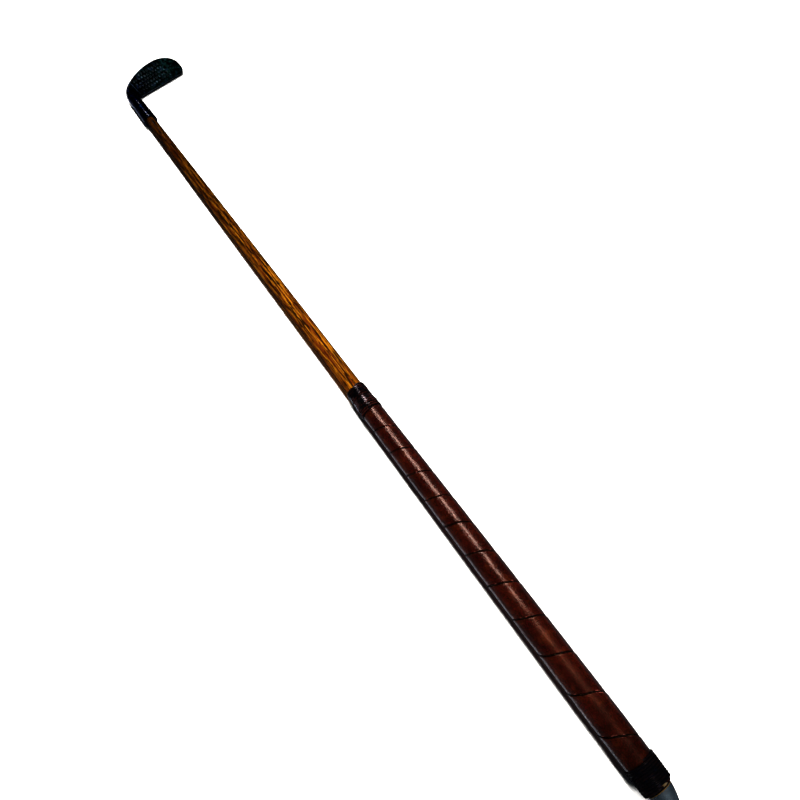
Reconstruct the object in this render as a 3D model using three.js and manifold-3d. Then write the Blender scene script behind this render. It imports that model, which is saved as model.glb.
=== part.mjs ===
// A hickory-shafted golf iron, lying face up on a flat surface.
// Lengths are millimetres and +Z is up. The butt lies towards -Y, the head towards +Y and the toe
// towards +X. The club is built along its shaft's axis, with y = 0 at the butt end of the wood, and
// is then laid down so that its end cap and the back of its blade touch the ground.
import * as THREE from 'three';
import { mergeVertices } from 'three/addons/utils/BufferGeometryUtils.js';
import Module from 'manifold-3d';

const wasm = await Module();
wasm.setup();

// Shaft: nearly straight under the hands, with most of its taper towards the head.
const rimDistance = 858;
const shaftButtDiameter = 16;
const shaftRimDiameter = 11.8;
const shaftTaperPower = 2.6;
const tenonLength = 51;
const tenonTipDiameter = 7.4;

// Hosel: a tapered socket, turned by the neck into the blade.
const hoselRimDiameter = 16.6;
const hoselWaistDiameter = 15.2;
const hoselRimRounding = 0.8;
const hoselStraightLength = 42;
const crotchDistance = 69;
const crotchReach = 9;
const neckInnerPull = 21;
const neckHeelPull = 26;
const neckTopPull = 5;
const neckSolePull = 14;

// Blade, measured in its face: along the top line from the crotch, and square down from it.
const loft = THREE.MathUtils.degToRad(35);
const toeSlope = THREE.MathUtils.degToRad(20);
const faceSetback = 6;
const bladeStart = 5;
const bladeLength = 83;
const bladeDepth = 34;
const heelDepth = 24.9;
const soleLowPlace = 50;
const noseDepth = 13;
const toeCornerLength = 10;
const toplineThickness = 4;
const soleThickness = 8;
const toeSoleThickness = 6.4;

// Shape of a section: a circle in the hosel, a flat-faced wedge with rounded edges in the blade.
const bladeSquareness = 0.35;
const bladeFaceSpread = 1.25;
const solePower = 2.2;
const noseEndAngle = THREE.MathUtils.degToRad(78);

// Pin through hosel and tenon.
const pinDiameter = 2.4;
const pinDistance = 14;
const pinInset = 0.1;

// Grip: leather strip over cloth listing.
const gripLength = 341;
const gripButtDiameter = 21.9;
const gripTopDiameter = 19.2;
const gripBarrelPower = 1.7;
const gripEndDiameter = 19.8;
const gripEndTaperLength = 55;
const gripTopTaperLength = 24;
const leatherThickness = 1.1;
const leatherSkivedThickness = 0.45;
const leatherBevel = 0.7;
const seamGap = 0.5;
const seamPitchButt = 30.9;
const seamPitchTop = 23.6;
const seamStart = 3.1;
const stripLeastWidth = 4;
const listingStart = 0.4;
const listingTopDistance = 34;

// Whippings: waxed thread.
const threadDiameter = 1.5;
const threadPitch = 2.4;
const topWhippingLoops = 9;
const topWhippingLap = 8.2;
const buttWhippingLoops = 7;
const buttWhippingStart = 1.3;
const whippingStepLength = 6;

// End cap and its tack.
const capDiameter = 24.6;
const capThickness = 12.7;
const tackHeadDiameter = 7;
const tackHeadThickness = 1.3;
const tackShankDiameter = 1.8;
const tackLength = 17;
const tackRecess = 0.9;

// Small tack that holds the start of the leather, under the butt whipping.
const stripTackPlace = 6.5;
const stripTackHeadDiameter = 3.2;
const stripTackHeadThickness = 0.35;
const stripTackShankDiameter = 1.1;
const stripTackLength = 7;

// Clearances between pieces that touch, and the overrun of every cut.
const seatGap = 0.3;
const wrapGap = 0.2;
const overrun = 5;

// Counts of faces.
const shaftSides = 32;
const shaftStations = 24;
const headRingPoints = 32;
const hoselStations = 4;
const neckStations = 14;
const bladeStations = 9;
const noseStations = 6;
const wrapSides = 24;
const threadSides = 6;
const listingStations = 12;
const smallSides = 16;
const stripTackSides = 8;

// Outlines as shares: of the cap's radius and thickness, and of a domed tack head's.
const capShares = [
  [0.88, 0], [0.96, 0.05], [1, 0.18], [1, 0.34], [0.975, 0.52], [0.92, 0.68], [0.83, 0.82], [0.71, 0.93], [0.56, 1],
];
const domeShares = [[1, 0], [0.97, 0.3], [0.8, 0.68], [0.5, 0.92]];

const axisZ = new THREE.Vector3(0, 0, 1);
const { lerp, smoothstep, clamp } = THREE.MathUtils;

/** The wood's radius at a distance from its butt end, outside the hosel. */
function shaftRadius(y) {
  const share = clamp(y / rimDistance, 0, 1);
  return lerp(shaftButtDiameter, shaftRimDiameter, share ** shaftTaperPower) / 2;
}

/** Outer radius of the leather, which is drawn in at the butt and skived away at its top end. */
function leatherOuter(y) {
  const body = lerp(gripButtDiameter, gripTopDiameter, (y / gripLength) ** gripBarrelPower) / 2;
  const endShare = 1 - clamp(y / gripEndTaperLength, 0, 1);
  const drawnIn = body - ((gripButtDiameter - gripEndDiameter) / 2) * endShare ** 2;
  const skived = shaftRadius(y) + wrapGap + leatherSkivedThickness;
  const topShare = clamp((y - gripLength + gripTopTaperLength) / gripTopTaperLength, 0, 1);
  return lerp(drawnIn, skived, topShare ** 2);
}

/** Inner radius of the leather, never closer to the wood than the wrap's clearance. */
function leatherInner(y) {
  return Math.max(leatherOuter(y) - leatherThickness, shaftRadius(y) + wrapGap);
}

/** What the whipping lies on: the leather's end and, past it, the bare wood. */
function whippingSeat(y) {
  const onWood = smoothstep(y, gripLength, gripLength + whippingStepLength);
  return lerp(leatherOuter(Math.min(y, gripLength)), shaftRadius(y), onWood);
}

/** Solid volume of a closed indexed geometry, negative when it is inside out. */
function signedVolume(geometry) {
  const place = geometry.getAttribute('position');
  const corners = geometry.index.array;
  const [a, b, c] = [new THREE.Vector3(), new THREE.Vector3(), new THREE.Vector3()];
  let total = 0;
  for (let k = 0; k < corners.length; k += 3) {
    a.fromBufferAttribute(place, corners[k]);
    b.fromBufferAttribute(place, corners[k + 1]);
    c.fromBufferAttribute(place, corners[k + 2]);
    total += a.dot(b.cross(c));
  }
  return total;
}

/** Joins a row of equal rings of points into one closed body, with a fan over each end. */
function skinRings(rings) {
  const count = rings[0].length;
  const points = rings.flat();
  const corners = [];
  for (let k = 0; k < rings.length - 1; k += 1) {
    for (let i = 0; i < count; i += 1) {
      const next = (i + 1) % count;
      const [a, b] = [k * count + i, k * count + next];
      const [c, d] = [a + count, b + count];
      corners.push(a, b, d, a, d, c);
    }
  }
  for (const [ring, start, turn] of [[rings[0], 0, true], [rings.at(-1), points.length - count, false]]) {
    const centre = points.length;
    const middle = ring.reduce((sum, point) => sum.add(point), new THREE.Vector3());
    points.push(middle.divideScalar(count));
    for (let i = 0; i < count; i += 1) {
      const next = (i + 1) % count;
      corners.push(centre, start + (turn ? next : i), start + (turn ? i : next));
    }
  }
  const geometry = new THREE.BufferGeometry();
  geometry.setAttribute('position', new THREE.Float32BufferAttribute(points.flatMap((p) => p.toArray()), 3));
  geometry.setIndex(corners);
  if (signedVolume(geometry) < 0) geometry.setIndex(corners.reverse());
  geometry.computeVertexNormals();
  return geometry;
}

/** Turns a three.js geometry into a solid that can be cut. */
function toSolid(geometry) {
  const bare = geometry.clone();
  bare.deleteAttribute('normal');
  bare.deleteAttribute('uv');
  const merged = mergeVertices(bare);
  const vertProperties = new Float32Array(merged.getAttribute('position').array);
  const triVerts = new Uint32Array(merged.index.array);
  return new wasm.Manifold(new wasm.Mesh({ numProp: 3, vertProperties, triVerts }));
}

/** Turns a cut solid back into a three.js geometry. */
function toGeometry(solid) {
  const mesh = solid.getMesh();
  const geometry = new THREE.BufferGeometry();
  geometry.setAttribute('position', new THREE.Float32BufferAttribute(mesh.vertProperties, 3));
  geometry.setIndex([...mesh.triVerts]);
  geometry.computeVertexNormals();
  return geometry;
}

/** Cuts each tool out of a geometry. */
function cut(geometry, ...tools) {
  return toGeometry(tools.reduce((solid, tool) => solid.subtract(toSolid(tool)), toSolid(geometry)));
}

/** A body turned about the shaft's axis, from [radius, y] pairs. */
function turned(profile, sides) {
  return new THREE.LatheGeometry(profile.map(([radius, y]) => new THREE.Vector2(radius, y)), sides);
}

/** A round bar of a given diameter between two distances along the X axis, at a place on the shaft. */
function crossBar(diameter, from, to, y, sides = smallSides) {
  const bar = new THREE.CylinderGeometry(diameter / 2, diameter / 2, to - from, sides);
  bar.rotateZ(-Math.PI / 2);
  bar.translate((from + to) / 2, y, 0);
  return bar;
}

/** A round bar along the shaft's axis, between two distances from the butt. */
function axisBar(diameter, from, to) {
  const bar = new THREE.CylinderGeometry(diameter / 2, diameter / 2, to - from, smallSides);
  bar.translate(0, (from + to) / 2, 0);
  return bar;
}

// Directions in the blade: along its top line, down its face, and square out of the face.
const toeWay = new THREE.Vector3(Math.cos(toeSlope), Math.sin(toeSlope), 0);
const soleWay = new THREE.Vector3(-Math.sin(toeSlope), Math.cos(toeSlope), 0);
const bladeDown = soleWay.clone().multiplyScalar(Math.cos(loft)).addScaledVector(axisZ, Math.sin(loft));
const faceNormal = axisZ.clone().multiplyScalar(Math.cos(loft)).addScaledVector(soleWay, -Math.sin(loft));
const crotch = new THREE.Vector3(crotchReach, rimDistance + crotchDistance, -faceSetback);

/** A point in the plane of the face. */
function facePoint(along, depth) {
  return crotch.clone().addScaledVector(toeWay, along).addScaledVector(bladeDown, depth);
}

/** Depth of the blade's upper outline: the straight top line, then the rounded toe. */
function topDepth(along) {
  const share = clamp((along - bladeLength + toeCornerLength) / toeCornerLength, 0, 1);
  return noseDepth * (1 - Math.sqrt(1 - share ** 2));
}

/** Depth of the blade's lower outline: a sole that is one long curve from the heel round the toe. */
function soleDepth(along) {
  if (along < soleLowPlace) {
    const share = (soleLowPlace - along) / (soleLowPlace - bladeStart);
    return lerp(bladeDepth, heelDepth, share ** 2);
  }
  const share = (along - soleLowPlace) / (bladeLength - soleLowPlace);
  return noseDepth + (bladeDepth - noseDepth) * (1 - share ** solePower) ** (1 / solePower);
}

/** One ring of the head: form 0 is a circle, form 1 the blade's wedge with its flat face in front. */
function headRing({ inner, outer, front, topThickness, lowThickness, form }) {
  const across = outer.clone().sub(inner);
  const middle = inner.clone().add(outer).multiplyScalar(0.5);
  const square = front.clone().addScaledVector(across, -front.dot(across) / across.lengthSq()).normalize();
  const power = lerp(1, bladeSquareness, form);
  const spread = lerp(1, bladeFaceSpread, form);
  const ring = [];
  for (let i = 0; i < headRingPoints; i += 1) {
    const angle = (i / headRingPoints) * 2 * Math.PI;
    const [c, s] = [Math.cos(angle), Math.sin(angle)];
    const wide = Math.sign(c) * Math.abs(c) ** power;
    const high = clamp(Math.sign(s) * Math.abs(s) ** power * spread, -1, 1);
    const thickness = lerp(topThickness, lowThickness, (wide + 1) / 2);
    const point = middle.clone().addScaledVector(across, wide / 2);
    ring.push(point.addScaledVector(square, (thickness / 2) * (high - 1)));
  }
  return ring;
}

/** The hosel's rings, from its rounded rim to where the neck begins. */
function hoselRings() {
  const ringAt = (y, radius) => headRing({
    inner: new THREE.Vector3(radius, y, radius),
    outer: new THREE.Vector3(-radius, y, radius),
    front: axisZ,
    topThickness: 2 * radius,
    lowThickness: 2 * radius,
    form: 0,
  });
  const rings = [ringAt(rimDistance, hoselRimDiameter / 2 - hoselRimRounding)];
  for (let k = 0; k <= hoselStations; k += 1) {
    const share = k / hoselStations;
    const y = rimDistance + lerp(hoselRimRounding, hoselStraightLength, share);
    rings.push(ringAt(y, lerp(hoselRimDiameter, hoselWaistDiameter, smoothstep(share, 0, 1)) / 2));
  }
  return rings;
}

/** The neck's rings: they fan round the crotch while the circle flattens into the blade. */
function neckRings() {
  const radius = hoselWaistDiameter / 2;
  const start = rimDistance + hoselStraightLength;
  const innerEnd = facePoint(bladeStart, topDepth(bladeStart));
  const outerEnd = facePoint(bladeStart, soleDepth(bladeStart));
  const soleSlope = 2 * (bladeDepth - heelDepth) / (soleLowPlace - bladeStart);
  const heelWay = toeWay.clone().addScaledVector(bladeDown, soleSlope).normalize();
  const innerRail = new THREE.CubicBezierCurve3(
    new THREE.Vector3(radius, start, radius),
    new THREE.Vector3(radius, start + neckInnerPull, radius),
    innerEnd.clone().addScaledVector(toeWay, -neckTopPull),
    innerEnd,
  );
  const outerRail = new THREE.CubicBezierCurve3(
    new THREE.Vector3(-radius, start, radius),
    new THREE.Vector3(-radius, start + neckHeelPull, radius),
    outerEnd.clone().addScaledVector(heelWay, -neckSolePull),
    outerEnd,
  );
  const rings = [];
  for (let k = 1; k < neckStations; k += 1) {
    const share = k / neckStations;
    const form = smoothstep(share, 0, 1);
    rings.push(headRing({
      inner: innerRail.getPoint(share),
      outer: outerRail.getPoint(share),
      front: axisZ.clone().lerp(faceNormal, form),
      topThickness: lerp(2 * radius, toplineThickness, form),
      lowThickness: lerp(2 * radius, soleThickness, form),
      form,
    }));
  }
  return rings;
}

/** The blade's rings, square to the top line, closing round the toe's nose. */
function bladeRings() {
  const corner = bladeLength - toeCornerLength;
  const places = [];
  for (let k = 0; k <= bladeStations; k += 1) places.push(lerp(bladeStart, corner, k / bladeStations));
  for (let k = 1; k <= noseStations; k += 1) {
    places.push(corner + toeCornerLength * Math.sin((k / noseStations) * noseEndAngle));
  }
  return places.map((along) => headRing({
    inner: facePoint(along, topDepth(along)),
    outer: facePoint(along, soleDepth(along)),
    front: faceNormal,
    topThickness: toplineThickness,
    lowThickness: lerp(soleThickness, toeSoleThickness, along / bladeLength),
    form: 1,
  }));
}

/** The hole that the tenon sits in, with a pointed end as a drill leaves. */
function socketTool() {
  const mouth = shaftRimDiameter / 2 + seatGap;
  const end = tenonTipDiameter / 2 + seatGap;
  return turned([
    [0, rimDistance - overrun],
    [mouth, rimDistance - overrun],
    [mouth, rimDistance],
    [end, rimDistance + tenonLength + seatGap],
    [0, rimDistance + tenonLength + seatGap + end],
  ], shaftSides);
}

/** The hole for the pin, through the hosel and the tenon. */
function pinHole() {
  const reach = hoselRimDiameter / 2 + overrun;
  return crossBar(pinDiameter + 2 * wrapGap, -reach, reach, rimDistance + pinDistance);
}

/** Hosel's outer radius at a distance from its rim. */
function hoselRadius(distance) {
  const share = (distance - hoselRimRounding) / (hoselStraightLength - hoselRimRounding);
  return lerp(hoselRimDiameter, hoselWaistDiameter, smoothstep(share, 0, 1)) / 2;
}

function makeHead() {
  const body = skinRings([...hoselRings(), ...neckRings(), ...bladeRings()]);
  return cut(body, socketTool(), pinHole());
}

function makePin() {
  const reach = hoselRadius(pinDistance) - pinInset;
  return crossBar(pinDiameter, -reach, reach, rimDistance + pinDistance);
}

function makeShaft() {
  const profile = [[0, 0]];
  for (let k = 0; k <= shaftStations; k += 1) {
    const y = rimDistance * (k / shaftStations);
    profile.push([shaftRadius(y), y]);
  }
  profile.push([tenonTipDiameter / 2, rimDistance + tenonLength], [0, rimDistance + tenonLength]);
  const tackHole = axisBar(tackShankDiameter + 2 * wrapGap, -overrun, tackLength);
  return cut(turned(profile, shaftSides), pinHole(), tackHole, stripTackHole());
}

/** The cloth listing: a thin sleeve that fills the leather out and is thickest at the butt. */
function makeListing() {
  const end = gripLength - listingTopDistance;
  const places = [];
  for (let k = 0; k <= listingStations; k += 1) places.push(lerp(listingStart, end, k / listingStations));
  const outside = places.map((y) => [leatherInner(y) - wrapGap, y]);
  const inside = places.map((y) => [shaftRadius(y) + wrapGap, y]).reverse();
  return cut(turned([...outside, ...inside, outside[0]], wrapSides), stripTackHole());
}

/** Place of the seam after a number of turns from the butt. Its turns draw closer towards the top. */
const seamTurns = (2 * (gripLength - seamStart)) / (seamPitchButt + seamPitchTop);
function seamPlace(turns) {
  return seamStart + seamPitchButt * turns - ((seamPitchButt - seamPitchTop) * turns ** 2) / (2 * seamTurns);
}

/** A point at a radius and a place on the shaft. The windings turn with the hand of this function. */
function woundPoint(turns, radius, y) {
  const angle = -turns * 2 * Math.PI;
  return new THREE.Vector3(radius * Math.sin(angle), y, radius * Math.cos(angle));
}

/** One section of the leather strip: flat inside, with both edges rounded off outside. */
function stripRing(turns) {
  const low = Math.max(seamPlace(turns), 0) + seamGap / 2;
  const high = Math.min(seamPlace(turns + 1), gripLength + seamGap) - seamGap / 2;
  const edge = Math.min(leatherBevel, (high - low) / 3);
  const section = [
    [leatherInner(low), low],
    [leatherInner(high), high],
    [(leatherInner(high) + leatherOuter(high)) / 2, high],
    [leatherOuter(high - edge), high - edge],
    [leatherOuter(low + edge), low + edge],
    [(leatherInner(low) + leatherOuter(low)) / 2, low],
  ];
  return section.map(([radius, y]) => woundPoint(turns, radius, y));
}

/** All the strip's sections, from where its pointed start is wide enough to where its end is. */
function stripRings() {
  let first = -1;
  while (seamPlace(first + 1) - seamGap < stripLeastWidth) first += 1 / wrapSides;
  const rings = [];
  for (let turns = first; gripLength - seamPlace(turns) > stripLeastWidth; turns += 1 / wrapSides) {
    rings.push(stripRing(turns));
  }
  return rings;
}

/** The small tack's place: on the toe side, in the leather under the butt whipping. */
function stripTackBase() {
  return leatherOuter(stripTackPlace) - stripTackHeadThickness - wrapGap;
}

function stripTackHole() {
  const base = stripTackBase();
  const bore = stripTackShankDiameter + 2 * wrapGap;
  return crossBar(bore, base - stripTackLength, base + overrun, stripTackPlace, stripTackSides);
}

function stripTackRecess() {
  const base = stripTackBase() - wrapGap;
  const bore = stripTackHeadDiameter + 2 * wrapGap;
  return crossBar(bore, base, base + overrun, stripTackPlace, stripTackSides);
}

function makeStripTack() {
  const base = stripTackBase();
  const tip = base - stripTackLength + wrapGap;
  const top = base + stripTackHeadThickness;
  const head = crossBar(stripTackHeadDiameter, base, top, stripTackPlace, stripTackSides);
  const shank = crossBar(stripTackShankDiameter, tip, base, stripTackPlace, stripTackSides);
  return toGeometry(toSolid(head).add(toSolid(shank)));
}

/** A whipping's thread sections: a round thread that climbs one pitch a loop, on what lies under it. */
function threadRings(start, loops) {
  const rings = [];
  for (let k = 0; k <= loops * wrapSides; k += 1) {
    const turns = k / wrapSides;
    const y = start + threadDiameter / 2 + threadPitch * turns;
    const middle = whippingSeat(y) + wrapGap + threadDiameter / 2;
    const ring = [];
    for (let i = 0; i < threadSides; i += 1) {
      const angle = (i / threadSides) * 2 * Math.PI;
      const radius = middle + (threadDiameter / 2) * Math.cos(angle);
      ring.push(woundPoint(turns, radius, y + (threadDiameter / 2) * Math.sin(angle)));
    }
    rings.push(ring);
  }
  return rings;
}

/** Least distance between two turns of a winding, measured on the points of its sections. */
function leastGap(rings) {
  let least = Infinity;
  for (let k = 0; k < rings.length; k += 1) {
    for (let m = k + wrapSides / 2; m < rings.length; m += 1) {
      for (const a of rings[k]) {
        for (const b of rings[m]) least = Math.min(least, a.distanceTo(b));
      }
    }
  }
  return least;
}

/** A winding as one unbroken body. It prints the winding's least gap to itself. */
function makeWinding(name, rings) {
  console.log(`${name}: least gap to itself ${leastGap(rings).toFixed(3)} mm`);
  return skinRings(rings);
}

function makeLeather() {
  return cut(makeWinding('grip_leather', stripRings()), stripTackHole(), stripTackRecess());
}

/** The domed disc over the end of the shaft, with a shallow recess for its tack. */
function makeCap() {
  const radius = capDiameter / 2;
  const outline = capShares.map(([wide, deep]) => [radius * wide, -seatGap - capThickness * deep]);
  const body = turned([[0, -seatGap - capThickness], ...outline.reverse(), [0, -seatGap]], wrapSides * 2);
  const hole = axisBar(tackShankDiameter + 2 * wrapGap, -seatGap - capThickness - overrun, overrun);
  const floor = -seatGap - capThickness + tackRecess;
  const recess = axisBar(tackHeadDiameter + 2 * seatGap, floor - tackRecess - overrun, floor);
  return cut(body, hole, recess);
}

/** The round-headed tack: its shank runs through the cap into the wood. */
function makeTack() {
  const seat = -seatGap - capThickness + tackRecess - seatGap;
  const dome = domeShares.map(([wide, high]) => [wide * tackHeadDiameter / 2, seat - high * tackHeadThickness]);
  const shank = tackShankDiameter / 2;
  const tip = tackLength - tackShankDiameter - wrapGap;
  return turned([[0, seat - tackHeadThickness], ...dome.reverse(), [shank, seat], [shank, tip],
    [0, tip + tackShankDiameter]], smallSides * 2);
}

function finish(color, roughness, metalness) {
  return new THREE.MeshStandardMaterial({ color, roughness, metalness });
}

const iron = finish(0x15171a, 0.34, 0.85);
const hickory = finish(0x8c4f10, 0.32, 0);
const redLeather = finish(0x3c0f06, 0.36, 0);
const blackLeather = finish(0x0d0b0b, 0.5, 0);
const waxedThread = finish(0x070707, 0.3, 0);
const cloth = finish(0x8d8468, 0.95, 0);
const brass = finish(0x8a6a35, 0.35, 0.9);

const pieces = [
  ['iron_head', makeHead(), iron],
  ['hosel_pin', makePin(), iron],
  ['hickory_shaft', makeShaft(), hickory],
  ['grip_underlisting', makeListing(), cloth],
  ['grip_leather', makeLeather(), redLeather],
  ['top_whipping', makeWinding('top_whipping', threadRings(gripLength - topWhippingLap, topWhippingLoops)), waxedThread],
  ['butt_whipping', makeWinding('butt_whipping', threadRings(buttWhippingStart, buttWhippingLoops)), waxedThread],
  ['strip_tack', makeStripTack(), brass],
  ['butt_cap', makeCap(), blackLeather],
  ['butt_tack', makeTack(), brass],
];

/** The club in its own frame, one named mesh for each piece. */
function assemble() {
  const club = new THREE.Group();
  for (const [name, geometry, material] of pieces) {
    const mesh = new THREE.Mesh(geometry, material);
    mesh.name = name;
    club.add(mesh);
  }
  return club;
}

/** Lays the club down: tipped until cap and head touch the ground, then centred over the origin. */
function layDown(club) {
  const box = (name) => new THREE.Box3().setFromObject(club.getObjectByName(name));
  const [cap, head] = [box('butt_cap'), box('iron_head')];
  const drop = head.min.z - cap.min.z;
  const reach = crotch.y - (cap.min.y + cap.max.y) / 2;
  club.rotation.x = -Math.atan2(drop, reach);
  club.updateMatrixWorld(true);
  const whole = new THREE.Box3().setFromObject(club, true);
  const centre = whole.getCenter(new THREE.Vector3());
  club.position.set(-centre.x, -centre.y, -whole.min.z);
  const part = new THREE.Group();
  part.add(club);
  return part;
}

export default layDown(assemble());
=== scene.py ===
"""Looks of a hickory-shafted golf iron that lies face up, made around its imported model.

Sizes in the classes are millimetres. Places in the finishes and the studio are metres. The club is built
along its shaft's axis, with y = 0 at the butt end of the wood, the head towards +Y, the toe towards +X and
the face towards +Z. Each finished mesh is then laid down, in metres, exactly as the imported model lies.
"""

import logging
import math
from dataclasses import dataclass, field
from enum import Enum

import bmesh
import bpy
import numpy as np
from mathutils import Euler, Matrix, Vector


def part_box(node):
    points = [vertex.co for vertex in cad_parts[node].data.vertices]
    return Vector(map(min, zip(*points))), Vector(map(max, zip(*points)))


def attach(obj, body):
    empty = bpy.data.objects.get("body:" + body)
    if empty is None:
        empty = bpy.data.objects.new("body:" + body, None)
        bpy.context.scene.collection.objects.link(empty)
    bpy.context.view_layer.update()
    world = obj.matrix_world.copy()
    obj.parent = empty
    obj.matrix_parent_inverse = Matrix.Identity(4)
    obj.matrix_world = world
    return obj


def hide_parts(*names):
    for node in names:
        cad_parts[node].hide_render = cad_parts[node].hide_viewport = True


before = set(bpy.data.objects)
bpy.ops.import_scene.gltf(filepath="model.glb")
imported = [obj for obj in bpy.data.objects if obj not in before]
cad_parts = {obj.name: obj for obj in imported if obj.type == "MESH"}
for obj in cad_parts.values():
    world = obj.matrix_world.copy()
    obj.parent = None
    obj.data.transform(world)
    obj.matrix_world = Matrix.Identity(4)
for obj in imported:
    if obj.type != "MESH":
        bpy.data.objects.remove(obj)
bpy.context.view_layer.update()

LOG = logging.getLogger("golf_iron")
MM = 0.001
BODY = "root"
PHOTO_SIDE = 800
POLE = 0.05
UP = np.array([0.0, 0.0, 1.0])

Number = float | np.ndarray
Pair = tuple[float, float]
Triple = tuple[float, float, float]
Colour = Triple


def smoothstep(value: Number, low: float, high: float) -> Number:
    """Returns a share that eases from 0 at low to 1 at high."""
    share = np.clip((value - low) / (high - low), 0.0, 1.0)
    return share * share * (3.0 - 2.0 * share)


def lerp(a: Number, b: Number, share: Number) -> Number:
    """Returns the value a share of the way from a to b."""
    return a + (b - a) * share


def unit(vector: np.ndarray) -> np.ndarray:
    """Returns the vector at length 1."""
    return vector / np.linalg.norm(vector)


def waves(place: Number, parts: tuple[Pair, ...], phases: tuple[float, ...] | np.ndarray) -> Number:
    """Returns a sum of sine waves, each given by its size and rate, and by its phase."""
    return sum(size * np.sin(rate * place + phase) for (size, rate), phase in zip(parts, phases))


def spaced(names: dict) -> dict:
    """Returns the same entries with a space for each _ in their names."""
    return {name.replace("_", " "): value for name, value in names.items()}


@dataclass
class Club:
    """Where the club lies, taken from two nodes whose middles are on the shaft's axis."""

    cap_middle: float = -6.65
    lay: Matrix = field(init=False)

    def __post_init__(self) -> None:
        """Works out the matrix that takes millimetres on the club to metres in the part's frame."""
        cap, pin = (sum(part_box(node), Vector()) / 2 for node in ("butt_cap", "hosel_pin"))
        along = (pin - cap).normalized()
        across = Vector((1.0, 0.0, 0.0))
        turn = Matrix((across, along, across.cross(along))).transposed().to_4x4()
        origin = cap - along * (self.cap_middle * MM)
        self.lay = Matrix.Translation(origin) @ turn @ Matrix.Scale(MM, 4)


def new_mesh(name: str, points: np.ndarray, faces: list, uv: np.ndarray | None = None) -> bpy.types.Object:
    """Makes a mesh object and links it to the scene.

    Args:
        name: The object's name.
        points: Places of the vertices, one row each.
        faces: Vertex numbers of each face.
        uv: Texture places, one row for each corner of each face in order.

    Returns:
        The new object.
    """
    mesh = bpy.data.meshes.new(name)
    mesh.from_pydata(np.asarray(points, float).tolist(), [], faces)
    if uv is not None:
        layer = mesh.uv_layers.new(name="UVMap")
        layer.data.foreach_set("uv", np.asarray(uv, np.float32).ravel())
    made = bpy.data.objects.new(name, mesh)
    bpy.context.scene.collection.objects.link(made)
    return made


def skin(name: str, rings: np.ndarray, flat: np.ndarray | None = None) -> bpy.types.Object:
    """Joins rings of points into one closed body, with a fan over each end.

    Args:
        name: The object's name.
        rings: Points as [ring, place in the ring, xyz].
        flat: The same skin laid flat, as [ring, place in the ring + 1, uv].

    Returns:
        The new object.
    """
    count, around = rings.shape[:2]
    faces, uv = [], []
    if flat is None:
        lengths = np.linalg.norm(np.diff(rings.mean(axis=1), axis=0), axis=1)
        u = np.concatenate([[0.0], np.cumsum(lengths)])
        flat = np.stack(np.meshgrid(u, np.linspace(0, 1, around + 1), indexing="ij"), axis=-1)
    for k in range(count - 1):
        for i in range(around):
            j = (i + 1) % around
            faces.append((k * around + i, k * around + j, (k + 1) * around + j, (k + 1) * around + i))
            uv += [flat[k, i], flat[k, i + 1], flat[k + 1, i + 1], flat[k + 1, i]]
    points = list(rings.reshape(-1, 3))
    for k, turned_over in ((0, True), (count - 1, False)):
        middle = len(points)
        points.append(rings[k].mean(axis=0))
        for i in range(around):
            a, b = (i + 1, i) if turned_over else (i, i + 1)
            faces.append((middle, k * around + a % around, k * around + b % around))
            uv += [flat[k].mean(axis=0), flat[k, a], flat[k, b]]
    return new_mesh(name, np.array(points), faces, np.array(uv))


def turned(name: str, profile: list[Pair], sides: int, rough: float, seed: int) -> bpy.types.Object:
    """Turns a body about the shaft's axis.

    Args:
        name: The object's name.
        profile: Pairs of radius and y, from one end to the other.
        sides: Number of sides.
        rough: How far the radius wanders, in millimetres.
        seed: Picks the wandering.

    Returns:
        The new object.
    """
    wave_count, fewest, most, drift = 6, 2, 7, 0.11
    angles = np.linspace(0, 2 * np.pi, sides, endpoint=False)
    draw = np.random.default_rng(seed)
    phases, counts = draw.uniform(0, 2 * np.pi, wave_count), draw.integers(fewest, most, wave_count)
    rings = np.zeros((len(profile), sides, 3))
    for k, (radius, y) in enumerate(profile):
        swell = sum(np.sin(n * angles + p + y * drift * n) for n, p in zip(counts, phases)) / wave_count
        reach = radius + rough * swell
        rings[k] = np.stack([reach * np.sin(angles), np.full(sides, y), reach * np.cos(angles)], axis=-1)
    return skin(name, rings)


def rounded(profile: list[Pair], radius: float, steps: int) -> list[Pair]:
    """Rounds the inner corners of a profile.

    Args:
        profile: Pairs of radius and y.
        radius: Distance from a corner at which its curve begins.
        steps: Points on each curve.

    Returns:
        The profile with a smooth curve in place of each corner.
    """
    most = 0.45
    out = [profile[0]]
    for before, corner, after in zip(profile, profile[1:], profile[2:]):
        p, c, q = (np.array(v, float) for v in (before, corner, after))
        start, end = (c + unit(v - c) * min(radius, np.linalg.norm(v - c) * most) for v in (p, q))
        for t in np.linspace(0, 1, steps):
            place = start * (1 - t) ** 2 + 2 * c * t * (1 - t) + end * t * t
            out.append((float(place[0]), float(place[1])))
    return [*out, profile[-1]]


def store(made: bpy.types.Object, name: str, values: np.ndarray) -> None:
    """Stores one number for each vertex under an attribute's name."""
    attribute = made.data.attributes.new(name, "FLOAT", "POINT")
    attribute.data.foreach_set("value", np.asarray(values, np.float32).ravel())


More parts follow.
